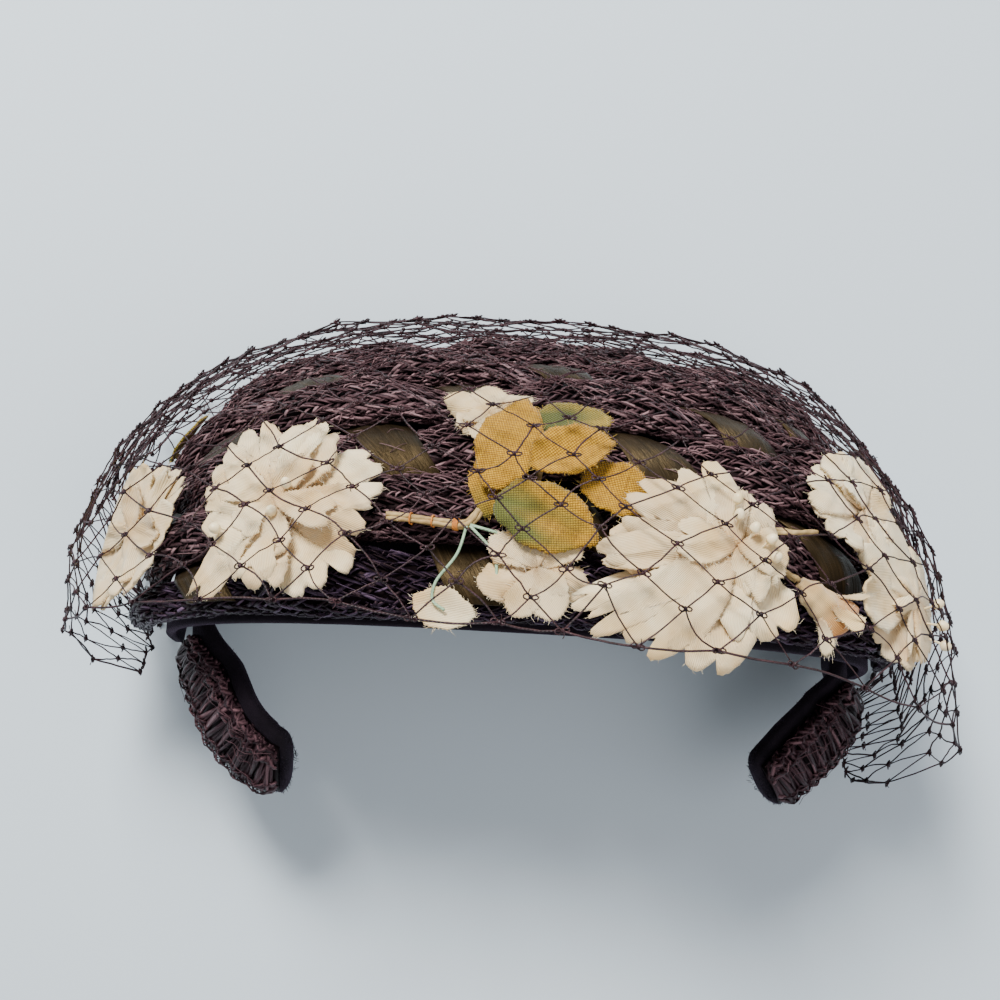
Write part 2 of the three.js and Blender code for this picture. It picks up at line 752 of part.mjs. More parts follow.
// The net: diamonds between crossing strands, with half diamonds along its hem.
function veilBody() {
  const across = 2 * VEIL.columns;
  const deep = 2 * VEIL.rows;
  const points = [];
  const triangles = [];
  const faces = [VEIL.thickness / 2, -VEIL.thickness / 2];
  const span = 180 - 2 * VEIL.earAngle;
  const place = (i, j, out) => {
    const arch = VEIL.earAngle + (span * i) / across;
    const turn = mix(VEIL.backAngle, VEIL.frontAngle, j / deep);
    return j === 0 ? hemPoint(arch, out) : veilPoint(arch, turn, out);
  };
  const known = new Map();
  const corner = (i, j, face) => {
    const key = [i, j, face].join();
    if (!known.has(key)) {
      known.set(key, points.length);
      points.push(place(i, j, faces[face]));
    }
    return known.get(key);
  };
  const cell = (corners) => {
    const loops = [0, 1].map((face) => corners.map(([i, j]) => corner(i, j, face)));
    const middles = loops.map((loop) =>
      loop.reduce((sum, k) => sum.add(points[k]), new THREE.Vector3()).divideScalar(loop.length),
    );
    const size = points[loops[0][0]].distanceTo(middles[0]) + points[loops[0][1]].distanceTo(middles[0]);
    const inset = Math.min(0.45, (1.5 * VEIL.strand) / size);
    const holes = loops.map((loop, face) =>
      loop.map((k) => {
        points.push(points[k].clone().lerp(middles[face], inset));
        return points.length - 1;
      }),
    );
    for (let k = 0; k < corners.length; k++) {
      const next = (k + 1) % corners.length;
      quad(triangles, loops[0][k], loops[0][next], holes[0][next], holes[0][k]);
      quad(triangles, loops[1][next], loops[1][k], holes[1][k], holes[1][next]);
      quad(triangles, holes[0][k], holes[0][next], holes[1][next], holes[1][k]);
    }
  };
  for (let i = 0; i <= across; i++)
    for (let j = 0; j <= deep; j++) {
      if ((i + j) % 2 === 0) continue;
      const around = [
        [i - 1, j],
        [i, j + 1],
        [i + 1, j],
        [i, j - 1],
      ];
      const inside = around.filter(([p, q]) => p >= 0 && p <= across && q >= 0 && q <= deep);
      cell(inside);
    }
  const border = [];
  for (let i = 0; i < across; i += 2) {
    border.push([[i, 0], [i + 2, 0]], [[i + 2, deep], [i, deep]]);
  }
  for (let j = 0; j < deep; j += 2) {
    border.push([[0, j + 2], [0, j]], [[across, j], [across, j + 2]]);
  }
  for (const [[i, j], [p, q]] of border)
    quad(triangles, corner(i, j, 0), corner(p, q, 0), corner(p, q, 1), corner(i, j, 1));
  return body(points, triangles);
}

// The hat

const hat = new THREE.Group();
hat.position.y = CAP.wall / 2 - HEAD.height;

function addPiece(name, geometry, colour, roughness) {
  const flat = geometry.index ? geometry.toNonIndexed() : geometry;
  flat.computeVertexNormals();
  const material = new THREE.MeshStandardMaterial({ color: colour, roughness, metalness: 0 });
  const mesh = new THREE.Mesh(flat, material);
  mesh.name = name;
  hat.add(mesh);
}

addPiece("velvet_cap", velvetCap(), COLOURS.velvet, 1);
addPiece("velvet_arm_right", velvetArm(RIGHT_ARM), COLOURS.velvet, 1);
addPiece("velvet_arm_left", velvetArm(LEFT_ARM), COLOURS.velvet, 1);
addPiece("raffia_arm_right", armBraid(RIGHT_ARM, 0.4), COLOURS.raffia, 0.6);
addPiece("raffia_arm_left", armBraid(LEFT_ARM, 0.3), COLOURS.raffia, 0.6);
for (let row = 0; row < WEAVE.rows; row++)
  addPiece(`raffia_cord_${row + 1}`, raffiaCord(row), COLOURS.raffia, 0.6);
for (let column = 0; column < WEAVE.columns; column++)
  addPiece(`straw_ribbon_${column + 1}`, strawRibbon(column), COLOURS.straw, 0.45);

// The pieces of the trimming, the top one first: each leaves room for those above it.
const rooms = [];
function addTrim(name, make, colour, roughness) {
  addPiece(name, cutClear(make(0), rooms), colour, roughness);
  rooms.push(make(GAP));
}
for (const leaf of [...LEAVES].reverse())
  addTrim(leaf.name, (room) => leafBody(leaf, room), COLOURS.leaf, 0.9);
for (const stem of STEMS) addTrim(stem.name, (room) => stemBody(stem, room), COLOURS.stem, 0.7);
addTrim("bud_right", budBody, COLOURS.petal, 0.9);
for (const flower of FLOWERS)
  addTrim(flower.name, (room) => flowerBody(flower, room), COLOURS.petal, 0.9);
addTrim(LOOSE_PETAL.name, (room) => leafBody(LOOSE_PETAL, room), COLOURS.petal, 0.9);
addPiece("veil", veilBody(), COLOURS.net, 0.8);

export default hat;
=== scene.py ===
import math
import random

import bpy
import numpy as np
from mathutils import Matrix, Vector


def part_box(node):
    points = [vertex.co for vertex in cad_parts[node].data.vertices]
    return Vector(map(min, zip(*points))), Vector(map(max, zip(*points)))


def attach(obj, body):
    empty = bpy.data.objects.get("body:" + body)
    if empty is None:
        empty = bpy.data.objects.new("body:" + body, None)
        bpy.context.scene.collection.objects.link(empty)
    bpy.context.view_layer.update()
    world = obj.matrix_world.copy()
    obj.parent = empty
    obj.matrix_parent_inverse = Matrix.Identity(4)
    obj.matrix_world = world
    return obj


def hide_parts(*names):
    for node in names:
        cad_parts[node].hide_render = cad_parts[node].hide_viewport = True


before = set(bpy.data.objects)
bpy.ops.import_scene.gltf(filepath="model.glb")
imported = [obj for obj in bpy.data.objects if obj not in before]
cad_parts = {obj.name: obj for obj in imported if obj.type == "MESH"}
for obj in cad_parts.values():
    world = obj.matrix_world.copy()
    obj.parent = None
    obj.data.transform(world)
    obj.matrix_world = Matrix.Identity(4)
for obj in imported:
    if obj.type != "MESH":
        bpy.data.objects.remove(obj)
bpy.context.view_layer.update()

rng = random.Random(7)

# Shapes are worked out in millimetres round the middle of the head opening, as in the part's
# source, and moved to the frame when a mesh is made.

HALF_WIDTH, HEIGHT, DEPTH, SQUARENESS = 85.5, 73.0, 66.0, 2.8
CAP_WALL, FRONT_ANGLE = 2.2, 88.0
ROWS, PITCH, FIRST, COLUMNS, SHEAR = 7, 20.4, 16.8, 8, 0.58
BASE, CORD_LOW, CORD_HIGH, GAP = 0.75, 4.2, 6.8, 0.35
RIBBON_WIDTH, RIBBON_THICK, STRAW_THICK = 14.5, 1.0, 0.45
CORD_END = 16.0
# How thick the cloths are, and the radii of the net's threads
COTTON, LINEN = 0.4, 0.55
NET_RADIUS, NET_EDGE_RADIUS, KNOT_RADIUS, BINDING_RADIUS = 0.18, 0.22, 0.2, 0.26
# Where the middle of the head opening lies along y in the frame
ORIGIN_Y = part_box("velvet_cap")[1][1] * 1000 - HEIGHT
ROW_TURN = FRONT_ANGLE / ROWS
RIBBON_ROOM = RIBBON_THICK + 2 * GAP


# Where a point lies on the crown

def mix(a, b, share):
    return a + (b - a) * share


def smooth(x, low, high):
    t = np.clip((x - low) / (high - low), 0, 1)
    return t * t * (3 - 2 * t)


def squared_radius(angle, a, b, power):
    across = np.abs(np.cos(angle) / a) ** power
    up = np.abs(np.sin(angle) / b) ** power
    return (across + up) ** (-1 / power)


def crown(arch_deg, turn_deg, out=0.0):
    """Points at an angle along the arch, a turn to the front and a distance outside the cap."""
    arch, turn = np.radians(arch_deg), np.radians(turn_deg)
    height = HEIGHT + out
    rho = squared_radius(arch, HALF_WIDTH + out, height, SQUARENESS)
    ring = rho * np.sin(arch)
    forward = (DEPTH + out) / height
    parts = np.broadcast_arrays(rho * np.cos(arch), ring * np.cos(turn), ring * np.sin(turn) * forward)
    return np.stack(parts, axis=-1)


def factor_to(points, out):
    """The factor that carries points, away from the origin, to a distance outside the cap."""
    height = HEIGHT + out
    ring = np.hypot(points[..., 1], points[..., 2] * height / (DEPTH + out))
    total = (np.abs(points[..., 0]) / (HALF_WIDTH + out)) ** SQUARENESS + (ring / height) ** SQUARENESS
    return total ** (-1 / SQUARENESS)


def between(points, low, high):
    points = points * np.maximum(factor_to(points, low), 1)[..., None]
    return points * np.minimum(factor_to(points, high), 1)[..., None]


def angles_of(points):
    level = points[..., 2] * HEIGHT / DEPTH
    ring = np.hypot(points[..., 1], level)
    arch = np.degrees(np.arctan2(ring, points[..., 0]))
    return arch, np.degrees(np.arctan2(level, points[..., 1]))


def unit(v):
    return v / np.linalg.norm(v, axis=-1, keepdims=True)


def seat(arch, turn, out, lean=0.0):
    """The place, side, up and outward directions of a seat on the crown."""
    at = crown(arch, turn, out)
    along = crown(arch - 0.5, turn, out) - crown(arch + 0.5, turn, out)
    back = crown(arch, turn - 0.5, out) - crown(arch, turn + 0.5, out)
    outward = unit(np.cross(along, back))
    outward = unit(mix(outward, np.array([0, 0, 1.0]), lean))
    up = unit(np.array([0, 1.0, 0]) - outward * outward[1])
    return at, np.cross(up, outward), up, outward


def arch_of(column, turn):
    return FIRST + PITCH * column - SHEAR * (turn - FRONT_ANGLE / 2)


def column_of(arch, turn):
    return (arch + SHEAR * (turn - FRONT_ANGLE / 2) - FIRST) / PITCH


def plumpness(arch):
    return mix(0.62, 1, np.minimum(1, np.sin(np.radians(arch)) / 0.75))


def lift(row, column):
    phase = np.abs(np.mod(column + row, 2) - 1)
    return smooth(phase, 0.24, 0.76)


# Making meshes

# Points below this height are pressed into it, so that nothing goes through the floor
FLOOR_SKIN = 0.12


class Parts:
    """Gathers points, faces, map places and tints of many small forms into one mesh."""

    def __init__(self):
        self.points, self.faces, self.uvs, self.tints, self.count = [], [], [], [], 0

    def add(self, points, faces, uvs, tint=None):
        self.points.append(points)
        self.uvs.append(uvs)
        self.faces += [tuple(i + self.count for i in face) for face in faces]
        self.count += len(points)
        if tint is not None:
            self.tints.append(np.broadcast_to(tint, (len(points),)))

    def make(self, name, slot, material):
        """The mesh object, in metres and pressed flat where it meets the floor."""
        place = np.concatenate(self.points) + [0, ORIGIN_Y, 0]
        pressed = FLOOR_SKIN * np.exp(np.minimum(place[:, 2] / FLOOR_SKIN - 1, 0))
        place[:, 2] = np.where(place[:, 2] < FLOOR_SKIN, pressed, place[:, 2])
        mesh = bpy.data.meshes.new(name)
        mesh.from_pydata((place / 1000).tolist(), [], self.faces)
        layer = mesh.uv_layers.new(name="UVMap")
        loops = np.empty(len(mesh.loops), dtype=np.int32)
        mesh.loops.foreach_get("vertex_index", loops)
        layer.data.foreach_set("uv", np.concatenate(self.uvs).astype(np.float32)[loops].ravel())
        mesh.polygons.foreach_set("use_smooth", [True] * len(mesh.polygons))
        mesh.update()
        piece = bpy.data.objects.new(name, mesh)
        bpy.context.scene.collection.objects.link(piece)
        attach(piece, "root")
        if self.tints:
            layer = mesh.attributes.new("tint", "FLOAT", "POINT")
            layer.data.foreach_set("value", np.concatenate(self.tints).astype(np.float32))
        piece.data.materials.append(material)
        return piece


def closed_sweep(parts, rings, uvs=None, tint=None):
    """A body through closed rings of the same number of points, capped at both ends."""
    rings = np.asarray(rings)
    steps, sides = rings.shape[:2]
    faces = []
    for a in range(0, (steps - 1) * sides, sides):
        for k in range(sides):
            m = (k + 1) % sides
            faces.append((a + k, a + m, a + sides + m, a + sides + k))
    faces.append(tuple(range(sides - 1, -1, -1)))
    faces.append(tuple((steps - 1) * sides + k for k in range(sides)))
    if uvs is None:
        uvs = np.zeros((steps * sides, 2))
    parts.add(rings.reshape(-1, 3), faces, uvs, tint)


def run_along(path):
    """The way from the start of a path to each of its points."""
    return np.concatenate([[0], np.cumsum(np.linalg.norm(np.diff(path, axis=0), axis=1))])


def tube(parts, path, normals, half_width, half_depth, sides=4, map_at=(0.0, 0.0), tint=None):
    """A strand along a path: flat across, deep along the normals, closed at both ends."""
    n = len(path)
    tangent = unit(np.gradient(path, axis=0) + 1e-9)
    normals = unit(normals - tangent * np.sum(normals * tangent, axis=1, keepdims=True) + 1e-9)
    side = np.cross(tangent, normals)
    width = np.broadcast_to(half_width, (n,))[:, None, None]
    depth = np.broadcast_to(half_depth, (n,))[:, None, None]
    angle = np.arange(sides) * 2 * math.pi / sides
    across = side[:, None] * (np.cos(angle)[None, :, None] * width)
    ring = path[:, None] + across + normals[:, None] * (np.sin(angle)[None, :, None] * depth)
    u = np.broadcast_to(np.arange(sides) / sides + map_at[0], (n, sides))
    v = np.broadcast_to(run_along(path)[:, None] + map_at[1], (n, sides))
    closed_sweep(parts, ring, np.stack([u, v], axis=-1).reshape(-1, 2), tint)


def sheet_shell(parts, top, thickness, normals, uvs):
    """A thin closed sheet from a grid of points, its normals and its map places."""
    rows, cols = top.shape[:2]
    count = rows * cols
    faces = []
    for i in range(rows - 1):
        for a in range(i * cols, (i + 1) * cols - 1):
            b, c, d = a + 1, a + cols + 1, a + cols
            faces += [(a, b, c, d), (count + d, count + c, count + b, count + a)]
    index = np.arange(count).reshape(rows, cols)
    rim = [*index[0], *index[1:, -1], *index[-1, -2::-1], *index[-2:0:-1, 0]]
    rim = [int(i) for i in rim]
    faces += [(b, a, count + a, count + b) for a, b in zip(rim, rim[1:] + rim[:1])]
    points = np.concatenate([top.reshape(-1, 3), (top - normals * thickness).reshape(-1, 3)])
    parts.add(points, faces, np.tile(uvs.reshape(-1, 2), (2, 1)))


def outward_normals(grid):
    """The normals of a grid of points, turned away from the middle of the head."""
    normals = np.cross(np.gradient(grid, axis=0), np.gradient(grid, axis=1))
    normals = normals / (np.linalg.norm(normals, axis=-1, keepdims=True) + 1e-9)
    return normals * np.where(np.sum(normals * grid, axis=-1).mean() < 0, -1, 1)


# Colours and materials

def rgb(red, green, blue):
    """A colour from 0 to 255 values as seen on a screen."""
    shares = [value / 255 for value in (red, green, blue)]
    return tuple(s / 12.92 if s <= 0.04045 else ((s + 0.055) / 1.055) ** 2.4 for s in shares) + (1,)


class Material:
    """A principled material, built from a few kinds of node."""

    def __init__(self, name, **finish):
        self.material = bpy.data.materials.new(name)
        self.material.use_nodes = True
        self.tree = self.material.node_tree
        self.shader = self.tree.nodes["Principled BSDF"]
        for socket, value in finish.items():
            self.shader.inputs[socket.replace("_", " ")].default_value = value

    def node(self, kind, inputs=(), **settings):
        made = self.tree.nodes.new("ShaderNode" + kind)
        for key, value in settings.items():
            setattr(made, key, value)
        for key, value in dict(inputs).items():
            self.feed(value, made.inputs[key])
        return made

    def feed(self, value, socket):
        if isinstance(value, bpy.types.NodeSocket):
            self.tree.links.new(value, socket)
        else:
            socket.default_value = value

    def math(self, operation, a, b=0.0):
        return self.node("Math", {0: a, 1: b}, operation=operation).outputs[0]

    def plus(self, a, b):
        return self.math("ADD", a, b)

    def times(self, a, b):
        return self.math("MULTIPLY", a, b)

    def place(self, source="Object", scale=(1, 1, 1), turn=0.0):
        """Coordinates: Object for metres in space, UV for millimetres on the cloth."""
        start = self.node("TexCoord").outputs[source]
        mapping = self.node("Mapping", {"Vector": start, "Scale": scale, "Rotation": (0, 0, turn)})
        return mapping.outputs["Vector"]

    def noise(self, vector, scale, detail=2.0, rough=0.5):
        settings = {"Vector": vector, "Scale": scale, "Detail": detail, "Roughness": rough}
        return self.node("TexNoise", settings).outputs["Fac"]

    def ramp(self, factor, *stops):
        """A colour ramp through rows of a place and a colour."""
        made = self.node("ValToRGB", {"Fac": factor})
        ends = made.color_ramp.elements
        while len(ends) < len(stops):
            ends.new(0.5)
        for end, (position, colour) in zip(ends, stops):
            end.position = position
            end.color = colour
        return made.outputs["Color"]

    def blend(self, factor, a, b, how="MIX"):
        made = self.node("Mix", data_type="RGBA", blend_type=how)
        for index, value in ((0, factor), (6, a), (7, b)):
            self.feed(value, made.inputs[index])
        return made.outputs[2]

    def attribute(self, name):
        return self.node("Attribute", attribute_name=name).outputs["Fac"]

    def finish(self, colour, height=None, distance=0.0002, strength=0.6, rough=None):
        self.feed(colour, self.shader.inputs["Base Color"])
        if rough is not None:
            self.feed(rough, self.shader.inputs["Roughness"])
        if height is not None:
            bump = self.node("Bump", {"Height": height, "Distance": distance, "Strength": strength})
            self.tree.links.new(bump.outputs["Normal"], self.shader.inputs["Normal"])
        return self.material


def velvet_material():
    made = Material("velvet_pile", Roughness=0.95, Sheen_Weight=0.5, Sheen_Roughness=0.35,
                    Sheen_Tint=rgb(120, 100, 130), Specular_IOR_Level=0.15)
    place = made.place()
    patches = made.noise(place, 90, 3, 0.6)
    pile = made.noise(place, 2600, 2, 0.7)
    colour = made.ramp(patches, (0.3, rgb(12, 9, 14)), (0.75, rgb(34, 26, 36)))
    colour = made.blend(made.times(pile, 0.5), colour, rgb(8, 6, 9))
    return made.finish(colour, pile, 0.0004, 0.7)


def raffia_material(name, dark, middle, light, shine=0.42):
    made = Material(name, Roughness=0.38, Anisotropic=0.4, Specular_IOR_Level=shine,
                    Specular_Tint=rgb(210, 168, 172))
    tint = made.attribute("tint")
    grain = made.noise(made.place("UV", (9, 0.35, 1)), 3.0, 3, 0.6)
    patches = made.noise(made.place(), 45, 2, 0.5)
    mixed = made.plus(made.times(tint, 0.62), made.times(grain, 0.3))
    mixed = made.plus(mixed, made.times(patches, 0.2))
    colour = made.ramp(mixed, (0.18, dark), (0.52, middle), (0.86, light))
    rough = made.plus(made.times(grain, 0.25), 0.28)
    return made.finish(colour, grain, 0.00018, 0.5, rough)


def straw_material():
    made = Material("straw_satin", Roughness=0.36, Anisotropic=0.6, Specular_IOR_Level=0.45,
                    Specular_Tint=rgb(214, 182, 128))
    grain = made.noise(made.place("UV", (0.55, 0.014, 1)), 2.0, 5, 0.65)
    fine = made.noise(made.place("UV", (2.6, 0.03, 1)), 2.0, 3, 0.6)
    patches = made.noise(made.place(), 38, 3, 0.55)
    colour = made.ramp(grain, (0.3, rgb(14, 10, 6)), (0.5, rgb(34, 27, 18)), (0.72, rgb(68, 55, 38)))
    colour = made.blend(made.times(fine, 0.5), colour, rgb(130, 118, 104), "MULTIPLY")
    colour = made.blend(made.ramp(patches, (0.45, (0, 0, 0, 1)), (0.75, (0.45,) * 3 + (1,))), colour,
                        rgb(66, 58, 46))
    height = made.plus(grain, made.times(fine, 0.5))
    return made.finish(colour, height, 0.0004, 0.7)


def petal_material(name, light, shade, tint_marks):
    """Finely ribbed cotton: ribs along the petal, crossed by finer threads."""
    made = Material(name, Roughness=0.85, Sheen_Weight=0.25, Specular_IOR_Level=0.2, Subsurface_Weight=0.12,
                    Subsurface_Radius=(0.8, 0.6, 0.4), Subsurface_Scale=0.0012)
    cloth = made.place("UV")
    ribs = made.node("TexWave", {"Vector": cloth, "Scale": 0.95, "Distortion": 0.7, "Detail": 1.0},
                     bands_direction="X").outputs["Fac"]
    wefts = made.node("TexWave", {"Vector": cloth, "Scale": 1.3, "Distortion": 0.6},
                      bands_direction="Y").outputs["Fac"]
    weave = made.plus(made.times(ribs, 0.7), made.times(wefts, 0.3))
    patches = made.noise(made.place(), 75, 3, 0.62)
    slubs = made.noise(made.place("UV", (2.5, 0.25, 1)), 1.0, 2, 0.6)
    colour = made.ramp(patches, (0.34, shade), (0.6, light))
    # The tint leads to the third colour: real age and stains, and on flowers painted shade at the hearts
    colour = made.blend(made.times(made.attribute("tint"), 0.8), colour, tint_marks)
    # Painted shade: darker in the grooves between the ribs and threads
    groove_shade = made.ramp(weave, (0.15, (0.62, 0.57, 0.48, 1)), (0.6, (1, 1, 1, 1)))
    colour = made.blend(0.65, colour, groove_shade, "MULTIPLY")
    colour = made.blend(made.ramp(slubs, (0.62, (0, 0, 0, 1)), (0.75, (0.25,) * 3 + (1,))), colour, light)
    return made.finish(colour, weave, 0.00018, 0.7)


def leaf_material(name, light, middle, dark, green, green_share):
    """Plain-woven linen with threads 0.52 mm apart."""
    made = Material(name, Roughness=0.88, Sheen_Weight=0.15, Specular_IOR_Level=0.2)
    cloth = made.place("UV", (1 / 0.52, 1 / 0.52, 1), 0.5)
    parts = made.node("SeparateXYZ", {"Vector": cloth})
    u, v = parts.outputs["X"], parts.outputs["Y"]
    over = made.node("TexChecker", {"Vector": cloth, "Scale": 1.0}).outputs["Fac"]
    warp = made.math("ABSOLUTE", made.math("SINE", made.times(u, math.pi)))
    weft = made.math("ABSOLUTE", made.math("SINE", made.times(v, math.pi)))
    thread = made.node("Mix", {0: over, 2: warp, 3: weft}, data_type="FLOAT").outputs[0]
    crossing = made.times(made.math("POWER", warp, 0.4), made.math("POWER", weft, 0.4))
    height = made.times(thread, crossing)
    streaks = made.noise(made.place("UV", (1.6, 0.12, 1), 0.5), 1.0, 2, 0.6)
    cross_streaks = made.noise(made.place("UV", (0.12, 1.6, 1), 0.5), 1.0, 2, 0.6)
    uneven = made.times(made.plus(streaks, cross_streaks), 0.5)
    colour = made.ramp(uneven, (0.35, middle), (0.62, light))
    patches = made.noise(made.place(), 52, 2, 0.5)
    painted = made.ramp(made.plus(patches, made.times(made.attribute("tint"), green_share)),
                        (0.6, (0, 0, 0, 1)), (0.95, (1, 1, 1, 1)))
    colour = made.blend(painted, colour, green)
    # Painted shade: darker in the gaps between the threads, towards the colour dark
    gap_shade = made.ramp(height, (0.06, dark), (0.42, (1, 1, 1, 1)))
    colour = made.blend(0.9, colour, gap_shade, "MULTIPLY")
    return made.finish(colour, height, 0.00035, 0.75)


def stem_material():
    made = Material("stem_wrap", Roughness=0.7)
    wrap = made.node("TexWave", {"Vector": made.place("UV", (1, 1, 1), 0.5), "Scale": 0.28, "Distortion": 1.5,
                                 "Detail": 2.0}).outputs["Fac"]
    patches = made.noise(made.place(), 160, 4, 0.65)
    colour = made.ramp(patches, (0.3, rgb(150, 116, 66)), (0.65, rgb(206, 178, 124)))
    colour = made.blend(made.times(wrap, 0.35), colour, rgb(112, 88, 46))
    return made.finish(colour, wrap, 0.0002, 0.5)


def thread_material(name, dark, light, rough=0.6):
    """Twisted thread: its plies turn round it."""
    made = Material(name, Roughness=rough, Specular_IOR_Level=0.3)
    twist = made.node("TexWave", {"Vector": made.place("UV", (1.6, 1, 1), 0.6), "Scale": 0.7}).outputs["Fac"]
    uneven = made.noise(made.place(), 400, 2, 0.6)
    colour = made.ramp(uneven, (0.3, dark), (0.7, light))
    colour = made.blend(made.times(twist, 0.4), colour, dark)
    return made.finish(colour, twist, 0.00012, 0.5)


def pearl_material():
    made = Material("stamen_wax", Roughness=0.4, Coat_Weight=0.2, Subsurface_Weight=0.08,
                    Subsurface_Scale=0.001)
    patches = made.noise(made.place(), 300, 2, 0.5)
    colour = made.ramp(patches, (0.3, rgb(222, 196, 142)), (0.7, rgb(244, 228, 190)))
    return made.finish(colour, patches, 0.0001, 0.3)


def floor_material():
    made = Material("pale_floor", Roughness=0.75)
    patches = made.noise(made.place(), 3, 2, 0.5)
    colour = made.ramp(patches, (0.2, rgb(189, 203, 214)), (0.8, rgb(198, 210, 219)))
    return made.finish(colour)


VELVET = velvet_material()
RAFFIA = raffia_material("raffia_aubergine", rgb(14, 8, 11), rgb(66, 46, 51), rgb(146, 116, 120), 0.5)
# Painted shade: a darker, bluish copy of the raffia for the front cord, which lies in shade
RAFFIA_FRONT_SHADE = raffia_material("raffia_night", rgb(9, 6, 12), rgb(36, 27, 42), rgb(94, 78, 100), 0.4)
# Painted shade: a darker copy of the raffia for the braids on the arms, which lie in shade
RAFFIA_ARM_SHADE = raffia_material("raffia_shaded", rgb(8, 4, 6), rgb(40, 24, 31), rgb(112, 82, 88), 0.42)
# Painted shade: the near-black raffia of the cord and braid cores stands for the shade under and between the
# strands
RAFFIA_CORE_SHADE = raffia_material("raffia_shade", rgb(5, 3, 4), rgb(14, 8, 11), rgb(30, 20, 25), 0.08)
STRAW = straw_material()
# The third colour of each petal cotton is reached through the tint: age, stains and painted shade at the
# flowers' hearts
PETAL = petal_material("petal_cotton", rgb(252, 234, 194), rgb(234, 200, 144), rgb(178, 124, 62))
PETAL_PALE = petal_material("petal_cotton_pale", rgb(253, 238, 203), rgb(236, 206, 152), rgb(186, 136, 74))
# The fourth colour of each leaf linen is the painted shade in the gaps between its threads
LEAF = leaf_material("leaf_linen", rgb(208, 156, 30), rgb(164, 116, 14), (0.24, 0.19, 0.08, 1),
                     rgb(104, 108, 46), 0.4)
LEAF_OLIVE = leaf_material("leaf_linen_olive", rgb(188, 158, 62), rgb(142, 118, 34), (0.22, 0.2, 0.09, 1),
                           rgb(92, 98, 44), 0.75)
STEM = stem_material()
NET = thread_material("net_thread", rgb(26, 13, 18), rgb(70, 42, 48), 0.45)
ORANGE = thread_material("binding_thread", rgb(168, 92, 30), rgb(222, 146, 70))
GREEN = thread_material("green_thread", rgb(126, 158, 126), rgb(176, 204, 172))
PALE_THREAD = thread_material("fray_thread", rgb(222, 205, 170), rgb(246, 236, 212), 0.8)
LEAF_THREAD = thread_material("linen_thread", rgb(176, 140, 56), rgb(226, 196, 112), 0.8)
PEARL = pearl_material()
CALYX = petal_material("calyx_cotton", rgb(222, 190, 138), rgb(198, 152, 90), rgb(196, 122, 56))


# The velvet cap

def cap_ring(arch):
    """Outer face, rounded front rim, inner face and rounded back rim."""
    rim = CAP_WALL / 2
    rim_turn = math.degrees(rim / HEIGHT)
    outer = np.linspace(rim_turn, FRONT_ANGLE - rim_turn, 40)
    bend = np.linspace(0, math.pi, 7)[1:-1]
    front = [(FRONT_ANGLE - rim_turn + rim_turn * math.sin(b), -rim + rim * math.cos(b)) for b in bend]
    back = [(rim_turn - rim_turn * math.sin(b), -rim - rim * math.cos(b)) for b in bend]
    stops = [(t, 0) for t in outer] + front + [(t, -CAP_WALL) for t in outer[::-1]] + back
    return np.array([crown(arch, turn, out) for turn, out in stops])


def make_cap():
    parts = Parts()
    arches = np.linspace(4, 176, 121)
    rings = [cap_ring(arch) for arch in arches]
    middle = [ring.mean(axis=0) for ring in (rings[0], rings[-1])]
    first = [middle[0] + (rings[0] - middle[0]) * 0.9 + (0.25, 0, 0)]
    last = [middle[1] + (rings[-1] - middle[1]) * 0.9 - (0.25, 0, 0)]
    closed_sweep(parts, first + rings + last)
    piece = parts.make("cap_velvet", "velvet", VELVET)
    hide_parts("velvet_cap")


# Woven raffia cords

def cord_point(row, arch, phi, above):
    """A point round a cord's section: phi in radians from its top, and how far proud of it."""
    middle = ROW_TURN * (row + 0.5)
    half = ROW_TURN / 2 * 0.82
    raised = lift(row, column_of(arch, middle))
    full = plumpness(arch)
    height = mix(CORD_LOW, CORD_HIGH, raised) * full
    wide = mix(0.9, 1.04, raised)
    across = np.sin(phi) * wide * (1 + above / 6.5)
    high = height * (0.42 + 0.58 * np.cos(phi)) + above * np.cos(phi)
    floor = BASE + RIBBON_ROOM * raised
    return crown(arch - SHEAR * across * half * full, middle + across * half, floor + high)


def cord_normal(row, arch, phi):
    return unit(cord_point(row, arch, phi, 1.0) - cord_point(row, arch, phi, 0.0))


def arc_table(row):
    """Places along a cord's top against the arch angle, to step along it in millimetres."""
    arches = np.linspace(CORD_END, 180 - CORD_END, 600)
    top = cord_point(row, arches, np.zeros(600), 0.0)
    return arches, run_along(top)


# Rows of stitches round a cord, a stitch's length, the step to the next, and the angle they cover
WALES, STITCH, STITCH_STEP, CORD_SPAN = 9, 3.1, 0.57, 4.1


def grain():
    """A place of its own on the grain's map for a strand."""
    return rng.uniform(0, 9), rng.uniform(0, 40)


def stitch_rows(parts, surface, normal, length, tone):
    """Slanted strands in pairs of opposite slant, like plaited raffia, over a cord's top."""
    step = CORD_SPAN / WALES
    share = np.array([0.0, 0.35, 0.7, 1.0])
    for wale in range(WALES):
        middle = -CORD_SPAN / 2 + step * (wale + 0.5)
        for near, far in ((-0.5, 0.08), (0.5, -0.08)):
            s = rng.uniform(0, STITCH)
            while s < length - 1.2:
                run = np.clip(s + STITCH * rng.uniform(1.0, 1.8) * share, 0, length)
                phi = middle + step * (mix(near, far, share) + rng.uniform(-0.26, 0.26))
                above = np.array([-0.4, 0.3, 0.42, -0.35]) + rng.uniform(-0.25, 0.3)
                width = rng.uniform(0.24, 0.54) * np.array([0.6, 1, 0.95, 0.45])
                tube(parts, surface(run, phi, above), normal(run, phi), width, 0.2, 3, grain(),
                     tone + rng.gauss(0, 0.27))
                s += STITCH * rng.uniform(0.7, 1.3) * STITCH_STEP


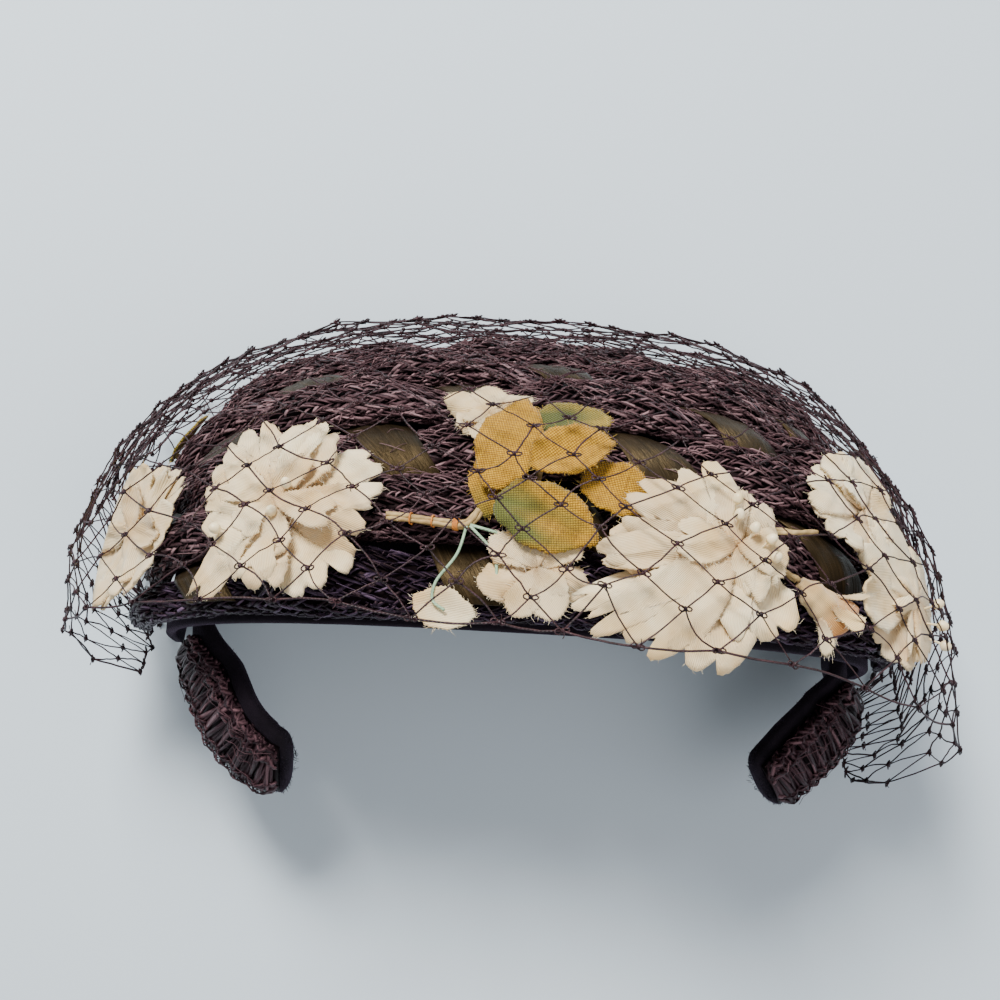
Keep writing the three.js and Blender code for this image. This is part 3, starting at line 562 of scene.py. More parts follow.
def loose_fibres(parts, surface, normal, length, count, span, tone):
    """Fine stray fibres that spring from the plait."""
    share = np.linspace(0, 1, 5)
    for _ in range(count):
        s, phi = rng.uniform(2, length - 8), rng.uniform(-span / 2.4, span / 2.4)
        run = s + rng.uniform(3, 8) * share
        turn = phi + rng.uniform(-0.5, 0.5) * share
        above = 0.3 + rng.uniform(0.4, 1.8) * np.sin(share * math.pi * rng.uniform(0.5, 1))
        tube(parts, surface(run, turn, above), normal(run, turn), 0.09, 0.07, 3, grain(),
             tone + rng.uniform(0.1, 0.5))


# How light each cord is, from the back rim to the front, falling off towards both rims with the front cord
# darkest as painted shade; and the tint of the cores, painted shade between strands
CORD_TONES = (0.3, 0.42, 0.46, 0.44, 0.42, 0.36, 0.26)
CORE_TINT = 0.1


def make_cord(row):
    arches, run = arc_table(row)
    length = run[-1]

    def surface(s, phi, above):
        return cord_point(row, np.interp(s, run, arches), phi, above)

    def normal(s, phi):
        return cord_normal(row, np.interp(s, run, arches), phi)

    body, rings = Parts(), []
    steps = np.interp(np.linspace(0, length, 96), run, arches)
    phi = np.linspace(-math.pi, math.pi, 17)[:-1]
    for k, arch in enumerate(steps):
        shrink = min(1, (k + 1) / 3, (len(steps) - k) / 3)
        above = np.where(np.abs(phi) < 2.2, -0.45, 0.0) - 1.6 * (1 - shrink)
        ring = cord_point(row, arch + 0 * phi, np.clip(phi, -2.5, 2.5), above)
        rings.append(between(ring, 0.3, 20.0))
    closed_sweep(body, rings, tint=CORE_TINT)
    # The core is near-black, painted shade under the strands
    body.make(f"cord_core_{row + 1}", "raffia", RAFFIA_CORE_SHADE)

    strands = Parts()
    stitch_rows(strands, surface, normal, length, CORD_TONES[row])
    loose_fibres(strands, surface, normal, length, 110, 3.4, CORD_TONES[row])
    # The front cord takes the darker raffia copy painted for its shade
    piece = strands.make(f"cord_raffia_{row + 1}", "raffia", RAFFIA_FRONT_SHADE if row == ROWS - 1 else RAFFIA)
    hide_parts(f"raffia_cord_{row + 1}")


# Straw ribbons

def ribbon_floor(row, column, arch):
    low = BASE - GAP
    high = BASE + CORD_LOW * plumpness(arch) + GAP
    return mix(high, low, lift(row, column))


def ribbon_stops(column):
    """Turns along a ribbon and its height over the cap there, with its ends tucked down."""
    turns, heights = [], []
    for row in range(ROWS):
        for stop in (-0.24, 0.24):
            turn = ROW_TURN * (row + 0.5 + stop)
            arch = arch_of(column, turn)
            if 24 <= arch <= 156:
                turns.append(turn)
                heights.append(float(ribbon_floor(row, column, arch)))
    return turns, heights


def make_ribbon(column):
    turns, heights = ribbon_stops(column)
    steps, wide = 66, 11
    turn = np.linspace(turns[0], turns[-1], steps)
    floor = np.interp(turn, turns, heights)
    kernel = np.hanning(9)
    padded = np.pad(floor, 4, mode="edge")
    floor = np.convolve(padded, kernel / kernel.sum(), mode="valid")
    half = math.degrees(RIBBON_WIDTH / 2 / HALF_WIDTH)
    aside = np.linspace(-1, 1, wide)
    wave = rng.uniform(0, 6)
    drift = 0.25 * np.sin(turn / 9 + wave)
    narrow = 1 - 0.12 * np.sin(turn / 5 + wave) ** 2
    lies = turn[:, None] + 0 * aside
    arch = arch_of(column, turn)[:, None] + drift[:, None] + half * narrow[:, None] * aside
    crown_up = 0.75 * (1 - aside**2)[None, :] * (0.6 + 0.4 * np.sin(turn / 3.1 + wave))[:, None]
    pleat = 0.22 * np.sin(aside * 8 + wave)[None, :] * np.sin(turn / 6 + wave)[:, None]
    high = floor[:, None] + 0.55 + crown_up + pleat
    top = crown(arch, lies, high)
    along = run_along(top[:, wide // 2])
    uvs = np.stack(np.broadcast_arrays(aside[None, :] * RIBBON_WIDTH / 2 + 20 * column, along[:, None]),
                   axis=-1)
    parts = Parts()
    sheet_shell(parts, top, STRAW_THICK, outward_normals(top), uvs)
    piece = parts.make(f"ribbon_{column + 1}", "straw", STRAW)
    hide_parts(f"straw_ribbon_{column + 1}")


# Arms that grip the head

# Stations along an arm: its place as shares of the cap's size, the direction across it, and its width
RIGHT_ARM = [
    (0.912, 0.24, 0.21, -0.08, 0.25, 0.96, 0.9),
    (0.9, 0.06, 0.28, -0.1, 0.25, 0.96, 1),
    (0.9, -0.06, 0.325, -0.35, 0.4, 0.85, 1),
    (0.855, -0.15, 0.365, -0.56, 0.5, 0.66, 1),
    (0.755, -0.265, 0.425, -0.5, 0.58, 0.64, 1),
    (0.665, -0.365, 0.455, -0.5, 0.58, 0.64, 0.86),
]
LEFT_ARM = [
    (-0.908, 0.24, 0.21, 0.08, 0.25, 0.96, 0.9),
    (-0.895, 0.08, 0.265, 0.1, 0.25, 0.96, 1),
    (-0.87, -0.045, 0.31, 0.4, 0.3, 0.86, 1),
    (-0.81, -0.15, 0.365, 0.6, 0.35, 0.72, 1),
    (-0.74, -0.275, 0.425, 0.5, 0.52, 0.69, 1),
    (-0.66, -0.35, 0.45, 0.35, 0.61, 0.71, 1),
    (-0.59, -0.38, 0.475, 0.15, 0.68, 0.71, 0.9),
]
ARM_WIDTH, ARM_THICK, BRAID_SHARE, BRAID_HEIGHT = 19.5, 5.0, 0.86, 3.6


def spline_point(places, share):
    """A point of the centripetal Catmull-Rom curve through places."""
    last = len(places) - 1
    spot = min(max(share, 0.0), 1.0) * last
    index = min(int(spot), last - 1)
    weight = spot - index
    p1, p2 = places[index], places[index + 1]
    p0 = places[index - 1] if index > 0 else 2 * p1 - p2
    p3 = places[index + 2] if index + 2 <= last else 2 * p2 - p1
    d0, d1, d2 = [math.sqrt(np.linalg.norm(b - a)) for a, b in ((p0, p1), (p1, p2), (p2, p3))]
    t1 = ((p1 - p0) / d0 - (p2 - p0) / (d0 + d1) + (p2 - p1) / d1) * d1
    t2 = ((p2 - p1) / d1 - (p3 - p1) / (d1 + d2) + (p3 - p2) / d2) * d1
    bend = 3 * (p2 - p1) - 2 * t1 - t2
    twist = 2 * (p1 - p2) + t1 + t2
    return p1 + t1 * weight + bend * weight**2 + twist * weight**3


def arm_course(stations, share):
    """An arm's place, direction across, outward direction and half width at a share of its length."""
    rows = np.array(stations)
    places = rows[:, :3] * [HALF_WIDTH, HEIGHT, DEPTH]
    at = spline_point(places, share)
    ahead, behind = min(share + 0.002, 1), max(share - 0.002, 0)
    tangent = unit(spline_point(places, ahead) - spline_point(places, behind))
    spot = min(max(share, 0), 1) * (len(rows) - 1)
    index = min(int(spot), len(rows) - 2)
    side = mix(unit(rows[index, 3:6]), unit(rows[index + 1, 3:6]), spot - index)
    side = unit(side - tangent * side.dot(tangent))
    outward = unit(np.cross(side, tangent))
    if outward.dot([at[0], 0, at[2]]) < 0:
        outward = -outward
    width = mix(rows[index, 6], rows[index + 1, 6], spot - index)
    return at, side, outward, ARM_WIDTH / 2 * width


# The share of an arm's length where its rounded tip starts, and the tip's own share
TIP, TIP_LENGTH = 0.94, 0.06


def tip_fill(share):
    """The share of an arm's full width that is left in its rounded tip."""
    end = max(0.0, (share - TIP) / TIP_LENGTH)
    return math.sqrt(max(1 - end**2.2, 0.04))


def make_arm(name, stations):
    parts, rings = Parts(), []
    angles = np.linspace(0, 2 * math.pi, 41)[:-1]
    for share in [*np.linspace(0, TIP, 70), 0.955, 0.968, 0.979, 0.988, 0.995, 1.0]:
        at, side, outward, half = arm_course(stations, share)
        fill = tip_fill(share)
        across = np.sign(np.cos(angles)) * np.abs(np.cos(angles)) ** 0.75 * half * fill
        out = np.sign(np.sin(angles)) * np.abs(np.sin(angles)) ** 0.55 * ARM_THICK / 2 * min(1, fill * 1.2)
        rings.append(at + across[:, None] * side + out[:, None] * outward)
    closed_sweep(parts, rings)
    piece = parts.make(f"arm_velvet_{name}", "velvet", VELVET)
    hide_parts(f"velvet_arm_{name}")


def make_arm_pile(name, stations):
    """Short tufts of pile along an arm's edges and over its tip."""
    parts = Parts()
    for _ in range(1000):
        share = rng.uniform(0.3, 1) if rng.random() < 0.6 else rng.uniform(0.9, 1)
        at, side, outward, half = arm_course(stations, share)
        angle = rng.uniform(0, 2 * math.pi)
        across, out = math.cos(angle), math.sin(angle)
        foot = at + side * (across * half * tip_fill(share) * 0.98) + outward * (out * ARM_THICK / 2 * 0.96)
        lean = unit(side * across + outward * out * 0.5 + np.array([rng.gauss(0, 0.4) for _ in range(3)]))
        length = rng.uniform(0.5, 1.3)
        path = np.array([foot, foot + lean * length * 0.5, foot + lean * length + (0, 0, -0.1)])
        tube(parts, path, np.tile(outward, (3, 1)), np.array([0.09, 0.07, 0.02]), 0.05, 3)
    parts.make(f"arm_pile_{name}", "velvet", VELVET)


def make_braid(name, stations, start, rungs):
    """The ladder braid on an arm's outer face: rungs of strands bound by a chain at each edge."""
    table = [arm_course(stations, share) for share in np.linspace(start, 0.975, 240)]
    course = [np.array([row[k] for row in table]) for k in range(3)]
    halves = np.array([row[3] for row in table])
    run = run_along(course[0])
    length = run[-1]

    def directions(s):
        return [np.stack([np.interp(s, run, line[:, k]) for k in range(3)], axis=-1) for line in course]

    def surface(s, a, above):
        at, side, outward = directions(s)
        half = np.interp(s, run, halves) * BRAID_SHARE
        taper = np.sqrt(np.clip((length - s) / 3 + 0.25, 0.3, 1))
        rise = 0.82 + 0.18 * np.cos(2 * math.pi * s * rungs / length)
        high = BRAID_HEIGHT * rise * (0.3 + 0.7 * np.sqrt(np.clip(1 - a**2 * 0.96, 0, 1))) + above
        floor = ARM_THICK / 2 + GAP
        return at + side * (a * half * taper)[..., None] + outward * (floor + high * taper)[..., None]

    def normal(s, a):
        return unit(surface(s, a, 1.0) - surface(s, a * 0.9, 0.0))

    core, rings = Parts(), []
    grid = np.linspace(-1, 1, 15)
    for s in np.linspace(0.3, length - 0.4, 100):
        top = surface(s + 0 * grid, grid * 0.97, -0.75)
        at, side, outward = directions(s)
        half = np.interp(s, run, halves) * BRAID_SHARE
        low = at + side * (grid[::-1, None] * 0.9 * half) + outward * (ARM_THICK / 2 + 0.1)
        rings.append(np.concatenate([top, low]))
    closed_sweep(core, rings, tint=CORE_TINT)
    # The core is near-black, painted shade under the strands
    core.make(f"braid_core_{name}", "raffia", RAFFIA_CORE_SHADE)

    parts = Parts()
    pitch = length / rungs
    share = np.linspace(0, 1, 9)
    for rung in range(rungs):
        for _ in range(16):
            middle = (rung + 0.5) * pitch + rng.gauss(0, 0.2) * pitch
            slant = rng.gauss(0.25, 0.12) * pitch
            s = np.clip(middle + slant * (share - 0.5) * 2, 0.2, length - 0.3)
            a = mix(-1.0, 1.0, share) * rng.uniform(0.9, 1)
            above = rng.uniform(-0.5, 0.3) - 0.5 * np.abs(2 * share - 1) ** 6
            tube(parts, surface(s, a, above), normal(s, a), rng.uniform(0.35, 0.6), 0.16, 4, grain(),
                 0.4 + rng.gauss(0, 0.2))
    share = np.array([0.0, 0.4, 0.75, 1.0])
    for edge in (-0.86, -0.52, 0.52, 0.86):
        for k in range(int(length / 1.5)):
            for leg in (-1, 1):
                s = np.clip(k * 1.5 + 2.6 * share, 0, length - 0.2)
                a = edge + leg * 0.16 * (share - 0.5) + rng.uniform(-0.04, 0.04)
                above = np.array([-0.3, 0.35, 0.4, -0.3]) + rng.uniform(-0.1, 0.15)
                tube(parts, surface(s, a, above), normal(s, a), rng.uniform(0.32, 0.5), 0.16, 4, grain(),
                     0.45 + rng.gauss(0, 0.2))
    loose_fibres(parts, surface, normal, length, 26, 1.9, 0.4)
    # The braid takes the darker raffia copy painted for the arms' shade
    piece = parts.make(f"braid_raffia_{name}", "raffia", RAFFIA_ARM_SHADE)
    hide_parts(f"raffia_arm_{name}")


# Cut cloth: petals and leaves

def blade(outline, middle, rings):
    """A flat star-shaped mesh from its middle to its outline, with faces and ring shares."""
    sectors = len(outline)
    points, shares = [middle], [0.0]
    for ring in range(1, rings + 1):
        share = (ring / rings) ** 0.85
        points += list(middle + (outline - middle) * share)
        shares += [share] * sectors
    faces = [(0, 1 + k, 1 + (k + 1) % sectors) for k in range(sectors)]
    for ring in range(rings - 1):
        a, b = 1 + ring * sectors, 1 + (ring + 1) * sectors
        faces += [(a + k, b + k, b + (k + 1) % sectors, a + (k + 1) % sectors) for k in range(sectors)]
    return np.array(points), faces, np.array(shares)


def polygon_area(outline):
    x, y = outline[:, 0], outline[:, 1]
    return abs(np.sum(x * np.roll(y, -1) - np.roll(x, -1) * y)) / 2


def petal_outline(length, width, lobes, notch, pointed, sectors=76):
    """A cut petal: a fan from its narrow foot, with rounded or pointed lobes and pinked edges."""
    side, tip = sectors // 3, sectors - 2 * (sectors // 3)
    rise = np.linspace(0.02, 1, side, endpoint=False)
    sweep = np.linspace(-1, 1, tip)
    aside = np.concatenate([-np.ones(side), sweep, np.ones(side)])
    climb = np.concatenate([rise, np.ones(tip), rise[::-1]])
    shift = rng.uniform(-0.25, 0.25)
    valley = (1 - np.abs(np.sin(math.pi * (lobes * (sweep + 1) / 2 + shift * (1 - sweep**2))))) ** 1.6
    depth = notch * np.array([rng.uniform(0.3, 1.5) for _ in range(lobes + 2)])
    valley = valley * np.interp(sweep, np.linspace(-1, 1, lobes + 2), depth)
    reach = 1 - mix(0.16, 0.5, pointed) * np.abs(sweep) ** mix(2.4, 1.3, pointed) - valley
    end = np.concatenate([np.full(side, reach[0]), reach, np.full(side, reach[-1])])
    x = length * climb * end
    y = width / 2 * aside * np.clip(climb, 0, 1) ** 0.62 * mix(1, 0.82 + 0.18 * climb**2, pointed)
    y = y * np.concatenate([np.ones(side), np.clip(1.12 - 0.12 * sweep**2, 0, 2), np.ones(side)])
    outline = np.stack([x, y], axis=-1)
    centre = np.array([0.5 * length, 0])
    away = unit(outline - centre)
    pink = np.where(np.arange(sectors) % 2 == 0, 0.17, -0.13) * smooth(climb, 0.2, 0.5)
    jitter = np.array([rng.gauss(0, 0.1) for _ in range(sectors)]) * smooth(climb, 0, 0.3)
    return outline + away * (pink + jitter)[:, None]


def cloth_piece(parts, frays, outline, middle, rings, place, thickness, fray, tint_marks):
    """Adds a cut piece of cloth, bent by place, with frayed threads along its edge."""
    flat, faces, shares = blade(outline, middle, rings)
    x, y = flat[:, 0], flat[:, 1]
    count, sectors = len(flat), len(outline)
    faces = faces + [tuple(count + i for i in reversed(face)) for face in faces]
    for k in range(sectors):
        a, b = count - sectors + k, count - sectors + (k + 1) % sectors
        faces.append((b, a, count + a, count + b))
    turn = rng.uniform(-0.25, 0.25)
    u = y * math.cos(turn) + x * math.sin(turn)
    v = x * math.cos(turn) - y * math.sin(turn)
    uv = np.stack([u + rng.uniform(0, 50), v + rng.uniform(0, 50)], axis=-1)
    points = np.concatenate([place(x, y, 0.0), place(x, y, -thickness)])
    parts.add(points, faces, np.tile(uv, (2, 1)), np.tile(tint_marks(x, y, shares), 2))
    for edge in outline:
        if rng.random() > fray:
            continue
        away = unit(edge - middle)
        lean = np.array([rng.gauss(0, 0.35), rng.gauss(0, 0.35)])
        reach = rng.uniform(0.25, 0.85)
        path = np.array([edge - away * 0.2, edge + (away + lean) * reach * 0.5,
                         edge + (away + 2 * lean) * reach])
        lifts = np.array([0, rng.uniform(-0.05, 0.15), rng.uniform(-0.2, 0.4)]) - thickness / 2
        bent = place(path[:, 0], path[:, 1], lifts)
        tube(frays, bent, np.tile(unit(bent[0]), (3, 1)), np.array([0.07, 0.055, 0.02]), 0.045, 3)


# name, arch, turn, out, lean, radius, petals, spin, cup, low, high, width, lobes, notch, pointed, inner,
# and how far to the side and up the petals' feet lie from the middle
FLOWERS = [
    ("flower_left_side", 151.5, 62, 12, 0.5, 18, 6, 20, 2, 9.8, 17, 1.02, 4, 0.15, 0.05, 4, 2, -1),
    ("flower_left_front", 121.8, 70.5, 12.5, 0.2, 22, 8, 8, 2, 10, 17, 0.98, 3, 0.2, 0.0, 5, -2, -1),
    ("flower_top", 96.5, 52.5, 10.5, 0.2, 10.5, 6, 0, 1.5, 9.3, 11.8, 0.72, 2, 0.04, 0.85, 3, 0, -1),
    ("flower_small_front", 88.5, 80.5, 11, 0.1, 11.8, 7, 15, 1.6, 9.6, 12.4, 0.74, 1, 0.0, 0.45, 2, 0, 1),
    ("flower_right_front", 67.8, 79, 12.5, 0.1, 22, 8, 30, 2.2, 9.8, 17, 0.98, 3, 0.19, 0.05, 4, 8, 5),
    ("flower_right_upper", 43, 57, 11, 0.25, 14, 6, 12, 1.6, 9.8, 14.5, 1.05, 3, 0.14, 0.1, 2, 0, -3),
    ("flower_right_side", 34.5, 74, 11.5, 0.5, 16, 6, 40, 2, 9.8, 15, 1.0, 3, 0.14, 0.1, 4, 3, 0),
]
# Torn and folded petals of a flower: angle, length, width and how high they lie
TORN = {
    "flower_left_front": [(234, 27, 8.5, 2.6), (258, 19, 11, 2.2), (75, 21, 8, 2.4)],
    "flower_right_front": [(203, 37, 7, 0.6), (213, 36, 8, 1.2), (186, 29, 8.5, 2.2), (330, 12, 6, 1.8)],
    "flower_left_side": [(250, 19, 7, 1.8), (60, 17, 7, 2.0)],
    "flower_right_side": [(255, 15, 6, 1.8), (120, 15, 6.5, 2.0)],
    "flower_right_upper": [(95, 13, 5, 1.4)],
}
# How high neighbouring petals lie, and the rings of points in a petal and a leaf
PETAL_LAYERS = (0.1, 2.3, 1.1)
PETAL_RINGS, LEAF_RINGS = 7, 7


def make_flower(row):
    name, arch, turn, out, lean, radius, count, spin, cup, low, high = row[:11]
    width, lobes, notch, pointed, inner, heart_side, heart_up = row[11:]
    at, side, up, outward = seat(arch, turn, out, lean)
    parts, frays, flat_area = Parts(), Parts(), 0.0

    def petal(angle, length, wide, layer, lift_by, tips):
        nonlocal flat_area
        outline = petal_outline(length, wide, tips, notch, pointed)
        flat_area += polygon_area(outline)
        ripple, phase = rng.uniform(0.6, 1.6), rng.uniform(0, 6)
        bowl, roll = rng.uniform(-1.2, 1.6), rng.uniform(-2.0, 3.2)
        ridge_at, ridge = rng.uniform(-0.5, 0.5), rng.choice((-1, 1)) * rng.uniform(1.2, 3.2)
        age = rng.uniform(0.0, 0.5) ** 1.3
        cos, sin = math.cos(angle), math.sin(angle)

        def place(x, y, above):
            far, aside = x / length, y / (wide / 2)
            height = layer + lift_by * aside * far + cup * (x / radius) ** 2
            height = height + ripple * far * np.sin(aside * 3.4 + phase) + bowl * far * aside**2
            height = height - ridge * far * np.sqrt((aside - ridge_at) ** 2 + 0.01) * 1.2
            height = height + roll * np.clip(far - 0.6, 0, 1) ** 1.5 * 5
            height = height + 0.2 * far * np.sin(aside * 13 + phase * 3 + far * 5)
            height = height + 0.2 * np.sin(x * 1.15 + y * 0.7 + phase) * np.sin(y * 1.3 - x * 0.4 + 2 * phase)
            across, along = x * cos - y * sin + heart_side, x * sin + y * cos + heart_up
            flat = at + across[:, None] * side + along[:, None] * up
            flat = flat + (height + above)[:, None] * outward
            flat = between(flat, low + min(layer, 1.5) * 0.5, high - 0.2)
            return flat + np.broadcast_to(above, (len(x),))[:, None] * outward

        # A petal's tint: a random age, darker towards the heart as partly a real stain and partly painted
        # shade where petals overlap, and a little darker at the outer ring
        def tint_marks(x, y, shares):
            heart = np.clip(0.8 - x / length * 1.7, 0, 1) ** 1.5
            return age + heart * (1 - age) + 0.15 * np.clip(shares - 0.93, 0, 1) * 8

        middle = np.array([length / 2, 0.0])
        cloth_piece(parts, frays, outline, middle, PETAL_RINGS, place, COTTON, 0.52, tint_marks)

    for k in range(count):
        angle = math.radians(spin) + 2 * math.pi * (k + 0.5 + rng.uniform(-0.16, 0.16)) / count
        uneven = 1 + 0.06 * math.sin(2 * angle + arch) + 0.04 * math.sin(3 * angle)
        reach = radius * uneven * rng.uniform(0.84, 1.03)
        tip_side, tip_up = reach * math.cos(angle) - heart_side, reach * math.sin(angle) - heart_up
        petal(math.atan2(tip_up, tip_side), math.hypot(tip_side, tip_up),
              radius * width * 2 * math.sin(math.pi / count) * rng.uniform(0.85, 1.2),
              PETAL_LAYERS[k % 3], rng.uniform(-1.1, 1.4), lobes)
    for k in range(inner):
        angle = math.radians(spin + 24) + 2 * math.pi * (k + 0.5) / inner
        length = radius * rng.uniform(0.42, 0.74)
        petal(angle + rng.uniform(-0.3, 0.3), length, length * rng.uniform(0.6, 0.8), 2.9 + 0.3 * k, 1.0,
              max(1, lobes - 1))
    for torn_angle, length, wide, layer in TORN.get(name, ()):
        petal(math.radians(torn_angle), length, wide, layer, 0.4, 2)
    piece = parts.make(name.replace("flower", "bloom"), "petal", PETAL if "front" in name else PETAL_PALE)
    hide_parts(name)
    fringe = frays.make(name.replace("flower", "fray"), "petal", PALE_THREAD)
    radii = np.interp(np.linspace(0, 1, 8), [0, 0.3, 0.8, 1], [0.7, 0.85, 1.3, 2.1])
    make_stalk(name.replace("flower", "foot"), arch, turn, out - 2, out + 0.3, radii, 10)
    return at, side, up, outward


def cover_height(arch, turn):
    """How high the cords stand over the cap at a place."""
    row = int(min(max(turn // ROW_TURN, 0), ROWS - 1))
    column = column_of(arch, turn)
    raised = lift(row, column)
    across = min(1, abs((2 * (turn / ROW_TURN - row) - 1) / 0.82))
    share = 0.42 + 0.58 * math.sqrt(1 - across**2)
    cord = mix(CORD_LOW, CORD_HIGH, raised) * plumpness(arch) * share
    return float(max(BASE + RIBBON_ROOM * raised + cord, ribbon_floor(row, column, arch) + RIBBON_THICK))


def make_stalk(name, arch, turn, low, high, radii, sides):
    """The wrapped stalk under a flower or leaf, sewn down between the cords."""
    parts = Parts()
    steps = np.linspace(min(cover_height(arch, turn) - 0.6, low), high, len(radii))
    path = np.array([crown(arch, turn, step) for step in steps])
    tube(parts, path, np.tile([1.0, 0.2, 0], (len(radii), 1)), radii, radii, sides)
    parts.make(name, "stem", STEM)


def make_stamens(name, seat_frame, places):
    """Waxed stamens: a bent thread with a drop-shaped head, from rows of side, up, lean and length."""
    at, side, up, outward = seat_frame
    parts = Parts()
    for right, high, lean_right, lean_up, length in places:
        foot = at + side * right + up * high + outward * 0.8
        direction = unit(outward + side * lean_right + up * lean_up)
        share = np.linspace(0, 1, 7)
        sag = np.sin(share * math.pi / 2)
        path = foot + direction * (length * share)[:, None] + outward * (0.35 * sag)[:, None]
        tube(parts, path, np.tile(side + 0.1, (7, 1)), 0.26, 0.26, 8)
        along = np.linspace(-0.25, 1, 12)
        shape = np.sqrt(np.clip(1 - along**2, 0.004, 1)) * np.interp(along, [-0.25, 0.1, 1], [0.45, 0.95, 1])
        heads = path[-1] + direction * (along * 2.0)[:, None]
        tube(parts, heads, np.tile(side + 0.1, (12, 1)), 1.35 * shape, 1.25 * shape, 14)
    parts.make(f"stamens_{name}", "petal", PEARL)


# name, arch, turn, low, tip, length, width, fold, green share, olive
LEAVES = [
    ("leaf_behind", 84, 53.5, 9.4, 15, 18, 12, 0.1, 0.5, True),
    ("leaf_small", 96, 66, 9.4, 96, 17, 8, 0.1, 0.4, False),
    ("leaf_right", 77.5, 67, 11, -28, 17, 12.5, 0.15, 0.1, False),
    ("leaf_up", 93, 59.8, 12.2, 76, 26.5, 13.5, 0.12, 0.0, False),
    ("leaf_low", 87.5, 72.8, 12.6, -22, 23, 15, 0.12, 0.9, False),
    ("leaf_folded", 84.5, 62.5, 14.4, 22, 19, 12, 0.25, 0.1, False),
    ("leaf_dark", 147, 25, 9.6, 100, 15, 8, 0.15, 0.5, True),
]
LOOSE_PETAL = ("petal_loose", 101, 86, 9.4, -12, 13, 8.5, 0.08, 0.2, False)
# Half widths of a leaf, as shares of its width, at shares of its length
LEAF_ALONG = [-0.5, -0.36, -0.12, 0.14, 0.36, 0.5]
LEAF_HALF = [0.12, 0.34, 0.5, 0.46, 0.26, 0.05]


def leaf_outline(length, width, sectors=88):
    """A leaf cut from linen by hand: even on the whole, with a few snips and corners."""
    psi = np.linspace(-math.pi, math.pi, sectors, endpoint=False)
    along = 0.5 * np.cos(psi)
    half = np.interp(along, LEAF_ALONG, LEAF_HALF)
    y = half * width * np.sign(np.sin(psi)) * np.clip(np.abs(np.sin(psi)) * 3, 0, 1)
    uneven = 1 + 0.03 * np.sin(5 * psi + rng.uniform(0, 6)) + 0.02 * np.sin(9 * psi + rng.uniform(0, 6))
    outline = np.stack([along * length, y * 1.03], axis=-1) * uneven[:, None]
    pink = np.where(np.arange(sectors) % 2 == 0, 0.1, -0.1)
    jitter = np.array([rng.gauss(0, 0.07) for _ in range(sectors)])
    size = np.linalg.norm(outline, axis=1, keepdims=True)
    return outline * (1 + (pink + jitter)[:, None] / size)


def make_leaf(row, cloth=None, slot="leaf", thickness=LINEN, new_name=None):
    """A cut leaf or loose petal on its stalk, of leaf linen where no other cloth is given."""
    name, arch, turn, low, tip, length, width, fold, green, olive = row
    at, side, up, outward = seat(arch, turn, low)
    tip_way = side * math.cos(math.radians(tip)) + up * math.sin(math.radians(tip))
    across_way = np.cross(outward, tip_way)
    outline = leaf_outline(length, width)
    phase, wave = rng.uniform(0, 6), rng.uniform(0.18, 0.32)

    def place(x, y, above):
        flat = at + x[:, None] * tip_way + y[:, None] * across_way
        ripple = wave * np.sin(x / length * 7 + phase + y / width * 2) + 0.16 * np.sin(y / width * 8 + phase)
        height = low + 0.45 + fold * np.abs(y) + ripple + above
        return between(flat, height, height)

    def tint_marks(x, y, shares):
        near_foot = np.clip(0.5 - x / length, 0, 1)
        return np.clip(near_foot * green * 1.3 + 0.25 * green * np.sin(y * 0.9), 0, 1)

    parts, frays = Parts(), Parts()
    cloth_piece(parts, frays, outline, np.zeros(2), LEAF_RINGS, place, thickness, 0.6, tint_marks)
    new_name = new_name or name.replace("leaf", "linen")
    piece = parts.make(new_name, slot, cloth or (LEAF_OLIVE if olive else LEAF))
    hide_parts(name)
    fringe = frays.make(new_name + "_fray", slot, PALE_THREAD if slot == "petal" else LEAF_THREAD)
    area = polygon_area(outline)
    foot_arch, foot_turn = angles_of(place(np.array([-0.36 * length]), np.array([0.0]), 0.0)[0])
    make_stalk(new_name + "_stalk", float(foot_arch), float(foot_turn), low - 1.5, low + 0.2,
               np.linspace(0.5, 0.9, 7), 8)


# Stems, threads and the bud

# A stem's number of wires and its course, as rows of arch, turn and how far out
STEMS = {
    "stem_left": (4, [(109.5, 72.5, 10.4), (104, 73.2, 10.4), (98.5, 73.5, 10.6), (96.8, 71.5, 10.9)]),
    "stem_right": (2, [(60.5, 70.8, 10.3), (55, 69.5, 10.3), (50, 68, 10.3)]),
    "stem_bud": (2, [(58.5, 74, 10.4), (56.5, 75.4, 10.7), (54.8, 76.8, 10.9), (53.6, 77.8, 11.2)]),
}
# A green thread's radius and its course
GREEN_THREADS = {
    "long": (0.32, [(98.5, 74, 11), (99.6, 78, 10.4), (102.4, 82.5, 10.2), (102.5, 85, 10.4),
                    (100.8, 86.3, 10.6)]),
    "mid": (0.32, [(98, 74, 11.2), (94.5, 78, 10.6), (93.6, 83.5, 10.8), (91.5, 86, 10.8)]),
    "short": (0.34, [(98, 73.8, 11), (93.5, 75, 11), (89, 76.5, 11.2)]),
    "loop": (0.34, [(60, 73, 10.6), (57.6, 71.8, 11.4), (55.8, 73.5, 11), (57, 75.5, 10.4)]),
}
# Stamens of a flower: side, up, lean to the side, lean up and length
STAMENS = {
    "left_front": [(0.3, 1.2, 0.1, 0.2, 3.2), (-1.3, -2.6, -0.1, -0.5, 3.0), (-8.5, -7.5, -0.9, -0.3, 5.5)],
    "right_front": [(8.5, 7.5, -0.1, 0.9, 5), (10, 5.2, 0.3, 0.8, 5), (11.8, 4, 0.7, 0.6, 5),
                    (7.2, 9.8, 0.1, 1.0, 6), (12.3, 1.8, 0.9, 0.3, 4.5)],
    "right_side": [(5, -2, 0.5, 0.25, 3), (6, -5, 0.5, -0.3, 3), (7, -8.5, 0.4, -0.6, 3)],
}


